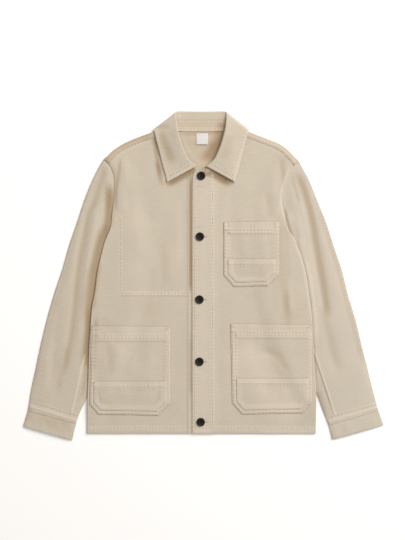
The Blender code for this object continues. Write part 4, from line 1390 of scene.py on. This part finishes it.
def sleeve_top(x, y, u, loft, side):
    """Middle of a sleeve's upper layer: low at the folds and under the body, soft folds elsewhere."""
    outside = (body_edge(y, side) - x) if side == "right" else (x - body_edge(y, side))
    at_shoulder = smooth((y - 60) / 50)
    # The folds show where the sleeve is clear of the body.
    if y >= SHOULDER_Y:
        clear = smooth((u - 0.05) / 0.3)
    elif side == "right":
        clear = smooth((outside + 6) / 26)
    else:
        clear = smooth((outside + 4.5 - 6.5 * at_shoulder) / (10 + 16 * at_shoulder))
    crown = 1 - (2 * u - 1) ** 4
    edge = smooth(min(u, 1 - u) / 0.10)
    folds = fold_sum(sleeve_folds, x, y) + 0.8 * (unevenness(x, y, 9.0) + 0.5)
    at_armhole = smooth((outside + 1.6) / 3) * (1 - smooth((outside - 6) / 22)) * smooth((y - 95) / 25)
    above_fold = (LOFT_SHARE * loft * crown + folds * edge) * clear
    height = HALF + SLEEVE_FOLD + above_fold + SLEEVE_AT_ARMHOLE[side] * at_armhole
    return max(height, HALF + LOWEST_TOP)


def fold_arc(end, inner, angle):
    """Point on the round fold that closes the two layers at one side of a sleeve."""
    inward = (inner - end).normalized()
    radius = SLEEVE_FOLD / 2
    centre = end + inward * (radius + HALF)
    turned = math.radians(angle)
    spot = centre - inward * radius * math.cos(turned)
    return spot.x, spot.y, HALF + radius + radius * math.sin(turned)


def tube(levels, upper_point, lower_point, loft_at, side, seams, ridges, grain, relief):
    """A ring of points for each level: upper layer, inner fold, lower layer and outer fold."""
    tops, arcs, bottoms = len(SLEEVE_TOPS), len(SLEEVE_ARC_ANGLES), len(SLEEVE_BOTTOMS)
    turn = Vector((math.cos(grain), math.sin(grain)))

    def flat_spot(column, v):
        if column < tops:
            return upper_point(SLEEVE_TOPS[column], v)
        if column < tops + arcs:
            return upper_point(1, v)
        if column < tops + arcs + bottoms:
            return lower_point(SLEEVE_BOTTOMS[column - tops - arcs], v)
        return upper_point(0, v)

    def place(column, row):
        v = levels[row]
        if column < tops:
            u = SLEEVE_TOPS[column]
            spot = upper_point(u, v)
            seam_rise = pucker(*nearest_seam(seams, spot.x, spot.y)) + relief(v, spot)
            from_ridge, _ = nearest_seam(ridges, spot.x, spot.y)
            seam_rise += RIDGE_RISE * math.exp(-(from_ridge / RIDGE_WIDTH) ** 2)
            return spot.x, spot.y, sleeve_top(spot.x, spot.y, u, loft_at(v), side) + seam_rise
        if column < tops + arcs:
            return fold_arc(upper_point(1, v), upper_point(0.96, v), -SLEEVE_ARC_ANGLES[column - tops])
        if column < tops + arcs + bottoms:
            spot = flat_spot(column, v)
            return spot.x, spot.y, HALF
        angle = SLEEVE_ARC_ANGLES[column - tops - arcs - bottoms]
        return fold_arc(upper_point(0, v), upper_point(0.04, v), angle)

    def lay(column, row):
        spot = flat_spot(column % RING, levels[row])
        return spot.x * turn.x + spot.y * turn.y, spot.y * turn.x - spot.x * turn.y

    def seam_at(column, row):
        spot = flat_spot(column % RING, levels[row])
        # Painted shade lines along the armhole; painted shade and light from the sleeve's list on the upper
        # layer and inner fold.
        fold, _ = nearest_seam(armhole_shade_lines[side], spot.x, spot.y)
        gap, run = nearest_seam(seams, spot.x, spot.y)
        shade = fold_sum(sleeve_shades, spot.x, spot.y) if column < tops + arcs else 0.0
        if column % RING >= tops + arcs + bottoms:
            shade = SLEEVE_EDGE_PAINTED_SHADE[side]
        from_ridge, _ = nearest_seam(ridges, spot.x, spot.y)
        return gap, run, fold, shade - PALE_RIDGE * math.exp(-(from_ridge / PALE_RIDGE_WIDTH) ** 2)

    return cloth_grid(RING, len(levels) - 1, place, lay=lay, seam_at=seam_at, closed=True)


print("right sleeve at the elbow:", round(sleeve_top(-300, -20, 0.5, 2.8, "right"), 1), "mm high")

# %% Two sleeves
SLEEVE_LEVELS = shares([0, 0.07], 430)[:-1] + shares([0.07, 1], 180)
sleeve_seams = {"right": [seam((-410, -297), (-295, -330))], "left": [seam((406, -303), (289, -336))]}
# Felled seams: the ridge along the sleeve, and the turned edge above the cuff
sleeve_ridges = {
    "right": [seam((-278, -186), (-289, -226), (-297, -268), (-309, -322)),
              seam((-410.5, -306), (-297, -340))],
    "left": [seam((259, -172), (286, -255), (309, -326)),
             seam((408, -309), (292, -344))],
}
# Painted shade lines on the sleeve: along the armhole, where sleeve and body pull together, and on the left
# sleeve beside its felled seam.
armhole_shade_lines = {
    "right": [seam((-231, 274), (-218, 255), (-211, 236), (-209, 212), (-212, 168), (-215, 145),
                   (-218, 116))],
    "left": [seam((186, 173), (192, 143), (201, 107)),
             seam((256.5, -172), (283.5, -255), (306.5, -326))],
}
SLEEVE_GRAIN = {"right": math.radians(7), "left": math.radians(8)}
SLEEVE_FINISH = {"right": twill_banded, "left": twill_plain}


def sleeve_points(side):
    """Flat points of a sleeve's upper and lower layers."""
    outer = curve(RIGHT_OUTER if side == "right" else LEFT_OUTER)
    inner = curve(RIGHT_INNER if side == "right" else LEFT_INNER)
    head_front = curve(RIGHT_HEAD_FRONT if side == "right" else LEFT_HEAD_FRONT)
    head_back = curve(RIGHT_HEAD_BACK if side == "right" else LEFT_HEAD_BACK)
    tops = [0, 0.04] + SLEEVE_TOPS + [0.96, 1]
    upper_flat = panel(outer, inner, head_front, tops, SLEEVE_LEVELS)
    lower_flat = panel(outer, inner, head_back, SLEEVE_BOTTOMS, SLEEVE_LEVELS)
    level_of = {v: index for index, v in enumerate(SLEEVE_LEVELS)}

    def upper(u, v):
        return upper_flat(tops.index(u), level_of[v])

    def lower(u, v):
        return lower_flat(SLEEVE_BOTTOMS.index(u), level_of[v])

    return upper, lower


def felled_band(v, spot):
    """The turned band above the cuff seam is three layers thick."""
    uneven = 0.5 + noise.noise(Vector((spot.x / 14, spot.y / 14, 8.8)))
    return (0.30 + 0.4 * uneven) * (1 - smooth((v - 0.026) / 0.006))


for side in ("right", "left"):
    upper, lower = sleeve_points(side)
    mesh = tube(SLEEVE_LEVELS, upper, lower, lambda v: read_table(SLEEVE_LOFT, v), side, sleeve_seams[side],
                sleeve_ridges[side], SLEEVE_GRAIN[side], felled_band)
    piece = add_piece("sleeve_" + side + "_cloth", mesh, SLEEVE_FINISH[side],
                      nodes=["sleeve_" + side])
    cloth = Cloth(mesh)
    for row in sleeve_seams[side]:
        cloth.row(*row.points)
    sleeve_stitches = cloth.gather("stitches_sleeve_" + side)
    layer_area(mesh)
    print("sleeve", side, len(mesh.faces), "faces", round(layer_area(mesh), 4), "m2")

# %% Two cuffs
CUFF_ROWS = 16
CUFF_GAP = 0.15            # between the cuff and the sleeve, at their seam


def cuff(side):
    """The deep band below the sleeve's seam, turned up at its hem."""
    outer_seam = Vector((RIGHT_OUTER if side == "right" else LEFT_OUTER)[0])
    inner_seam = Vector((RIGHT_INNER if side == "right" else LEFT_INNER)[0])
    outer_hem, inner_hem = [Vector(end) for end in (RIGHT_CUFF_HEM if side == "right" else LEFT_CUFF_HEM)]

    def spot(u, v):
        share = v * (1 - CUFF_GAP / (outer_seam - outer_hem).length)
        return outer_hem.lerp(outer_seam, share).lerp(inner_hem.lerp(inner_seam, share), u)

    def softness(v, place):
        uneven = noise.noise(Vector((place.x / 15, place.y / 40, 2.2)))
        return 1.1 * uneven * math.sin(math.pi * v) - 0.05 * v

    levels = [row / CUFF_ROWS for row in range(CUFF_ROWS + 1)]
    return tube(levels, spot, spot, lambda v: SLEEVE_LOFT[0][1], side, [], [], SLEEVE_GRAIN[side], softness)


for side in ("right", "left"):
    mesh = cuff(side)
    piece = add_piece("cuff_" + side + "_cloth", mesh, SLEEVE_FINISH[side], nodes=["cuff_" + side])
    layer_area(mesh)
    print("cuff", side, len(mesh.faces), "faces", round(layer_area(mesh), 4), "m2")

# %% [markdown]
# ## The collar
#
# The leaf is one strip that turns over along its roll line: inside the neck it comes up from the stand, and
# it falls outwards over the fronts. Round the back the fall lies under the garment. Its sections are placed
# at a few stations from the right point to the left one, and smooth curves join them.

# %% Collar stations
# roll x, y, z;  seam with the stand x, y, z;  outer edge x, y, z
COLLAR = [
    ((-17, 258, 7.2), (-21, 257.5, 6.2), (-85, 220, 5.4)),
    ((-34, 273, 9.5), (-40, 268, 7.2), (-88, 234, 5.4)),
    ((-46, 296, 11.5), (-54.5, 292.5, 8.2), (-95, 259, 5.6)),
    ((-54, 319, 12.5), (-63.5, 316, 8.8), (-101, 283, 6.0)),
    ((-60, 343, 12.2), (-70, 341, 9.0), (-107, 306, 7.2)),
    ((-62.8, 361, 10.8), (-71.5, 357, 8.4), (-111.5, 324, 8.2)),
    ((-63.8, 375, 9.0), (-70, 368, 6.8), (-114.5, 336, 8.7)),
    ((-63.5, 382, 7.2), (-68.0, 368.5, 5.4), (-116.5, 341.5, 7.0)),
    ((-61.5, 385.5, 5.5), (-65.0, 367.0, 4.8), (-116.5, 344, 5.0)),
    ((-58.8, 386.3, 4.1), (-60.5, 366, 4.5), (-114.5, 345.3, 2.8)),
    ((-54, 386.5, 2.9), (-55.5, 365.5, 4.1), (-108, 343.5, 0.9)),
    ((-47, 386.5, 2.2), (-48.5, 365.2, 3.8), (-97, 338.5, 0.55)),
    ((-29, 386.3, 2.0), (-31, 365, 3.6), (-54, 331.5, 0.55)),
    ((-4.7, 386, 2.0), (-4.7, 365, 3.6), (-4.7, 330, 0.55)),
]
COLLAR_ROLL = 1.45         # radius of the leaf's roll
LEFT_COLLAR_LIFT = [4.0, 3.2, 1.6, 0.6]    # the left point stands off the front
COLLAR_STITCH = 9.0        # the topstitching's distance from the leaf's edges
ROLL_STITCH = 6.0          # the distance of the row inside the neck from the roll


def collar_stations():
    """Roll, seam and outer edge at each station, round from right to left."""
    right = [[Vector(point) for point in row] for row in COLLAR]
    left = []
    for index, row in enumerate(right[:-1]):
        mirrored = [Vector((2 * COLLAR_CENTRE - point.x, point.y, point.z)) for point in row]
        if index < len(LEFT_COLLAR_LIFT):
            mirrored[2].z += LEFT_COLLAR_LIFT[index]
        left.append(mirrored)
    return right + left[::-1]


stations = collar_stations()
rolls, leaf_seams, outers = ([station[part] for station in stations] for part in range(3))
print("collar stations:", len(stations))

# %% Collar leaf
LEAF_WALL = 1.1            # its two layers pressed together
LEAF_STEPS = 9             # columns between two stations
RIGHT_HOLLOW, LEFT_HOLLOW = -0.6, 0.35     # the right leaf sinks in its middle, the left one swells
LEAF_SWELL = 0.5
PALE_LEAF_EDGE = 0.30
ROLL_ANGLES = [-90, -60, -30, 0, 30, 60, 90]
UNDER_SHARES = [0, 0.25, 0.5, 0.75]
LEAF_SHARES = [step / 24 for step in range(1, 25)]


def leaf_section(at):
    """Section of the leaf at a place between the stations: in from the stand's seam, over and out."""
    roll, seam_point, outer = through(rolls, at), through(leaf_seams, at), through(outers, at)
    along = (through(rolls, at + 0.5) - through(rolls, at - 0.5)).normalized()
    apex = -((seam_point - roll).normalized() + (outer - roll).normalized())
    apex = (apex - along * (apex @ along)).normalized()
    to_leaf = apex.cross(along).normalized()
    centre = roll - apex * COLLAR_ROLL
    points = [seam_point.lerp(centre - to_leaf * COLLAR_ROLL, share) for share in UNDER_SHARES]
    for angle in ROLL_ANGLES:
        turned = math.radians(angle)
        points.append(centre + (apex * math.cos(turned) + to_leaf * math.sin(turned)) * COLLAR_ROLL)
    start = points[-1]
    return points + [start.lerp(outer, share) for share in LEAF_SHARES]


leaf_columns = LEAF_STEPS * (len(stations) - 1)
sections = [leaf_section(column / LEAF_STEPS) for column in range(leaf_columns + 1)]
front_fall = len(UNDER_SHARES) + len(ROLL_ANGLES)          # the first row that falls over the front
roll_middle = len(UNDER_SHARES) + ROLL_ANGLES.index(0)
edge_run = [0.0]
for before, after in zip(sections, sections[1:]):
    edge_run.append(edge_run[-1] + (after[-1] - before[-1]).length)


def leaf_seam_at(column, row):
    """Distance to the topstitching along the outer edge and the two front edges."""
    spot = sections[column][row]
    to_outer = (sections[column][-1] - spot).length
    to_front = min((sections[0][row] - spot).length, (sections[-1][row] - spot).length)
    if row < front_fall:
        from_roll = (spot - sections[column][roll_middle]).length
        # Painted shade from the neck's list on the leaf's inner side.
        shade = fold_sum(neck_shades, spot.x, spot.y)
        return abs(from_roll - ROLL_STITCH), edge_run[column], SEAM_REACH, shade
    outer_gap, front_gap = abs(to_outer - COLLAR_STITCH), abs(to_front - COLLAR_STITCH)
    at_edge = 1 - smooth((min(to_outer, to_front) - 7) / 3)
    # Painted shade and light from the collar's list; the band along the edges is paler.
    shade = fold_sum(collar_shades, spot.x, spot.y) - PALE_LEAF_EDGE * at_edge
    if front_gap < outer_gap and to_outer > COLLAR_STITCH - 1:
        return front_gap, to_outer, SEAM_REACH, shade
    return outer_gap, edge_run[column], SEAM_REACH, shade


def leaf_point(column, row):
    """A leaf's point, with the band along its edges thicker and puckered, and a soft hollow inside."""
    spot = sections[column][row].copy()
    if row < front_fall:
        return spot
    share = (row - front_fall + 1) / len(LEAF_SHARES)
    from_end = min(column, leaf_columns - column) / LEAF_STEPS
    on_front = 1 - smooth((from_end - 4.5) / 1.5)
    gap, run, _, _ = leaf_seam_at(column, row)
    hollow = RIGHT_HOLLOW if column < leaf_columns / 2 else LEFT_HOLLOW
    wave = hollow * math.sin(math.pi * share) ** 2 * smooth(from_end / 1.2)
    swell = LEAF_SWELL * noise.noise(Vector((spot.x / 30, spot.y / 30, 5.5)))
    spot.z += on_front * (wave + swell * math.sin(math.pi * share) + pucker(gap, run, "collar"))
    return spot


leaf_mesh = cloth_grid(leaf_columns, len(sections[0]) - 1, leaf_point, seam_at=leaf_seam_at)
collar_leaf = add_piece("collar_leaf_cloth", leaf_mesh, twill_outside, wall=LEAF_WALL,
                        nodes=["collar_leaf"])
print("collar leaf", len(leaf_mesh.faces), "faces")

# %% Stitches of the leaf
leaf_cloth = Cloth(leaf_mesh, wall=LEAF_WALL)
front_columns = 5 * LEAF_STEPS     # the topstitching shows up to the fifth station


def along_edge(column, inset_by):
    """A point of the leaf that far in from its outer edge."""
    start, end = sections[column][front_fall - 1], sections[column][-1]
    return end.lerp(start, inset_by / (start - end).length).xy


for first, last in ((4, front_columns), (leaf_columns - 4, leaf_columns - front_columns)):
    step = 1 if first < last else -1
    leaf_cloth.row(*[along_edge(column, COLLAR_STITCH) for column in range(first, last, step)])
    reach = (sections[first][-1] - sections[first][front_fall - 1]).length
    leaf_cloth.row(along_edge(first, COLLAR_STITCH), along_edge(first, reach - 2))
inside_roll = [Vector((x, 380.0)) for x in (-50, -30, -4.7, 20, 40)]
leaf_cloth.row(*inside_roll)
leaf_stitches = leaf_cloth.gather("stitches_collar")
layer_area(leaf_mesh)

# %% Collar stand
# A flat band across the back of the neck; its ends go on under the two leaves.
STAND_BASE = [(-76, 345, 5.4), (-66, 341, 4.6), (-50, 339.5, 4.0), (-4.7, 339, 3.8), (41, 339.5, 4.0),
              (57, 341, 4.6), (67, 345, 5.4)]
STAND_TOP = [(-70, 367, 5.0), (-63, 366.8, 4.3), (-48, 366.4, 3.7), (-4.7, 366.3, 3.6), (39, 366.4, 3.7),
             (54, 366.8, 4.3), (61, 367, 5.0)]
STAND_STEPS = 10
STAND_COLUMNS = 60
STAND_STITCHES = (5.0, 26.0)       # up from the base
STAND_HOLLOW = 0.15
PALE_STAND_RIDGE = 0.45
stand_base, stand_top = curve(STAND_BASE), curve(STAND_TOP)


def stand_point(column, row):
    """A point of the stand, puckered at its base and hollow in its middle."""
    share = column / STAND_COLUMNS
    base, top = stand_base(share), stand_top(share)
    spot = base.lerp(top, row / STAND_STEPS)
    hollow = STAND_HOLLOW * math.sin(math.pi * row / STAND_STEPS)
    spot.z += pucker((spot - base).length - STAND_STITCHES[0], spot.x, "stand") - hollow
    return spot


def stand_seam_at(column, row):
    """Distance to the stitching at the stand's base and top; the ridge at its base is paler."""
    base, spot = stand_base(column / STAND_COLUMNS), stand_point(column, row)
    from_base = (spot - base).length
    gap = min(abs(from_base - STAND_STITCHES[0]), abs(STAND_STITCHES[1] - from_base))
    # Painted shade from the neck's list, and a paler ridge at the base.
    shade = fold_sum(neck_shades, *spot.xy) - PALE_STAND_RIDGE * math.exp(-((from_base - 4) / 3.5) ** 2)
    return gap, base.x, SEAM_REACH, shade


stand_mesh = cloth_grid(STAND_COLUMNS, STAND_STEPS, stand_point, seam_at=stand_seam_at)
collar_stand = add_piece("collar_stand_cloth", stand_mesh, twill_inside,
                         nodes=["collar_stand"])
stand_cloth = Cloth(stand_mesh)
stand_cloth.row((-45, 344.5), (-4.7, 344), (36, 344.5))
stand_stitches = stand_cloth.gather("stitches_stand")
layer_area(stand_mesh)

# %% [markdown]
# ## Label
#
# A plain white woven tab is sewn inside the neck. It is a small square of ribbed satin, stitched along its
# top, with a bartack beside it, and its lower edge stands off the back a little. One bent grid is enough.

# %% Plain woven label
LABEL_LEFT, LABEL_RIGHT, LABEL_TOP, LABEL_BOTTOM = -16, 11, 335, 309
LABEL_CELLS = 14
LABEL_WALL, LABEL_RISE, LABEL_CURL = 0.6, 1.1, 0.9


def label_point(i, j):
    """A point of the label, whose lower edge curls up."""
    x = LABEL_LEFT + (LABEL_RIGHT - LABEL_LEFT) * i / LABEL_CELLS
    y = LABEL_BOTTOM + (LABEL_TOP - LABEL_BOTTOM) * j / LABEL_CELLS
    curl = LABEL_CURL * (1 - j / LABEL_CELLS) ** 2 + 0.25 * math.sin(math.pi * i / LABEL_CELLS)
    return x, y, back_height(x, y) + LABEL_RISE + curl


label_mesh = cloth_grid(LABEL_CELLS, LABEL_CELLS, label_point)
label = add_piece("label_cloth", label_mesh, label_weave, wall=LABEL_WALL, nodes=["label_neck"])
label_cloth = Cloth(label_mesh, wall=LABEL_WALL)
label_cloth.row((-14.5, 334), (9.5, 334), step=2.2)
label_stitches = label_cloth.gather("stitches_label")
back_cloth_low = Cloth(back_mesh)
back_cloth_low.bartack((-18.5, 333), (-18.5, 319), width=1.6)
back_cloth_low.gather("bartack_label")
layer_area(label_mesh)

# %% [markdown]
# ## Buttons and buttonholes
#
# Each button is moulded: a rim, a dished face, four holes, and dark thread across them. The face starts as
# a disc with its holes left out, and its edges are extruded down. Beside it shows the far end of the
# buttonhole, a slit bound with close khaki stitches.

# %% One button
BUTTON_PLACES = [(-5, 235), (-8, 92), (-9, -56), (-9, -202), (-6, -344)]
# ring radius and height of the moulded rim, from the face outwards and down to the underside
RIM = [(7.0, 2.55), (7.9, 3.05), (8.7, 3.15), (9.4, 2.95), (9.9, 2.4), (10.0, 1.7), (9.4, 0.8), (8.4, 0.35)]
FACE_RADIUS, FACE_HEIGHT = 6.2, 2.3
HOLE_RADIUS, HOLE_OFFSET, HOLE_DEPTH = 0.95, 2.1875, 1.2
SIDES, HOLE_SIDES = 48, 14


def ring_edges(mesh, radius, height, centre=(0, 0), sides=SIDES):
    """The edges of a new circle."""
    made = bmesh.ops.create_circle(mesh, segments=sides, radius=radius)
    for vert in made["verts"]:
        vert.co += Vector((centre[0], centre[1], height))
    return list({edge for vert in made["verts"] for edge in vert.link_edges})


def drawn_out(mesh, edges):
    """The new points and their edges after a ring of edges is extruded."""
    made = bmesh.ops.extrude_edge_only(mesh, edges=edges)["geom"]
    verts = [item for item in made if isinstance(item, bmesh.types.BMVert)]
    return verts, [item for item in made if isinstance(item, bmesh.types.BMEdge)
                   and all(vert in verts for vert in item.verts)]


def button_mesh():
    """A dished four-hole button, in millimetres about its own centre."""
    mesh = bmesh.new()
    edges = ring_edges(mesh, FACE_RADIUS, FACE_HEIGHT)
    holes = []
    for turn in range(4):
        angle = math.radians(45 + 90 * turn)
        centre = (HOLE_OFFSET * math.cos(angle), HOLE_OFFSET * math.sin(angle))
        holes.append(ring_edges(mesh, HOLE_RADIUS, FACE_HEIGHT, centre, HOLE_SIDES))
    bmesh.ops.triangle_fill(mesh, edges=mesh.edges[:], use_beauty=True, normal=(0, 0, 1))
    for hole in holes:
        low, floor = drawn_out(mesh, hole)
        bmesh.ops.translate(mesh, verts=low, vec=(0, 0, -HOLE_DEPTH))
        bmesh.ops.edgeloop_fill(mesh, edges=floor)
    for radius, height in RIM:
        verts, edges = drawn_out(mesh, edges)
        for vert in verts:
            flat = vert.co.xy.normalized() * radius
            vert.co = (flat.x, flat.y, height)
    bmesh.ops.edgeloop_fill(mesh, edges=edges)
    bmesh.ops.recalc_face_normals(mesh, faces=mesh.faces)
    return mesh


print("button:", 2 * max(radius for radius, _ in RIM), "mm wide")

# %% Five buttons with their thread and buttonholes
# The buttonhole's two ends, across from the button's middle, and half its width
HOLE_START, HOLE_END, HOLE_HALF_WIDTH = -6.0, 16.5, 1.5
# The thread across the holes: its distance from the middle, half sizes and height above the face
STRAND_X, STRAND_SIZE, STRAND_RISE = 1.55, Vector((0.55, 2.3, 0.45)), 0.25


def sit(mesh, x, y, z):
    """Moves a mesh in millimetres to its place, in metres."""
    bmesh.ops.scale(mesh, verts=mesh.verts, vec=(MM, MM, MM))
    bmesh.ops.translate(mesh, verts=mesh.verts, vec=(x * MM, y * MM, z * MM))


for number, (x, y) in enumerate(BUTTON_PLACES, 1):
    top = placket_height(x, y) + turned_edges(x, y) + WALL / 2
    mesh = button_mesh()
    sit(mesh, x, y, top)
    add_piece(f"button_{number}_moulded", mesh, button_black, wall=None,
              nodes=[f"button_{number}"])
    mesh.free()
    sewing = bmesh.new()
    for side_x in (-1, 1):
        made = bmesh.ops.create_icosphere(sewing, subdivisions=2, radius=1)
        middle = Vector((side_x * STRAND_X, 0, FACE_HEIGHT + STRAND_RISE))
        for vert in made["verts"]:
            vert.co = vert.co * STRAND_SIZE + middle
    sit(sewing, x, y, top)
    add_piece(f"button_{number}_thread", sewing, button_black, wall=None)
    sewing.free()

for number, (x, y) in enumerate(BUTTON_PLACES, 1):
    hole = Cloth(front_meshes["left"])
    for side_y in (-1, 1):
        beside_slit = y + side_y * HOLE_HALF_WIDTH / 2
        hole.bartack((x + HOLE_START, beside_slit), (x + HOLE_END, beside_slit), width=HOLE_HALF_WIDTH,
                     step=0.62)
    hole.bartack((x + HOLE_END, y - 1.6), (x + HOLE_END, y + 1.6), width=1.8, step=0.6)
    hole.gather(f"buttonhole_{number}", buttonhole_thread)
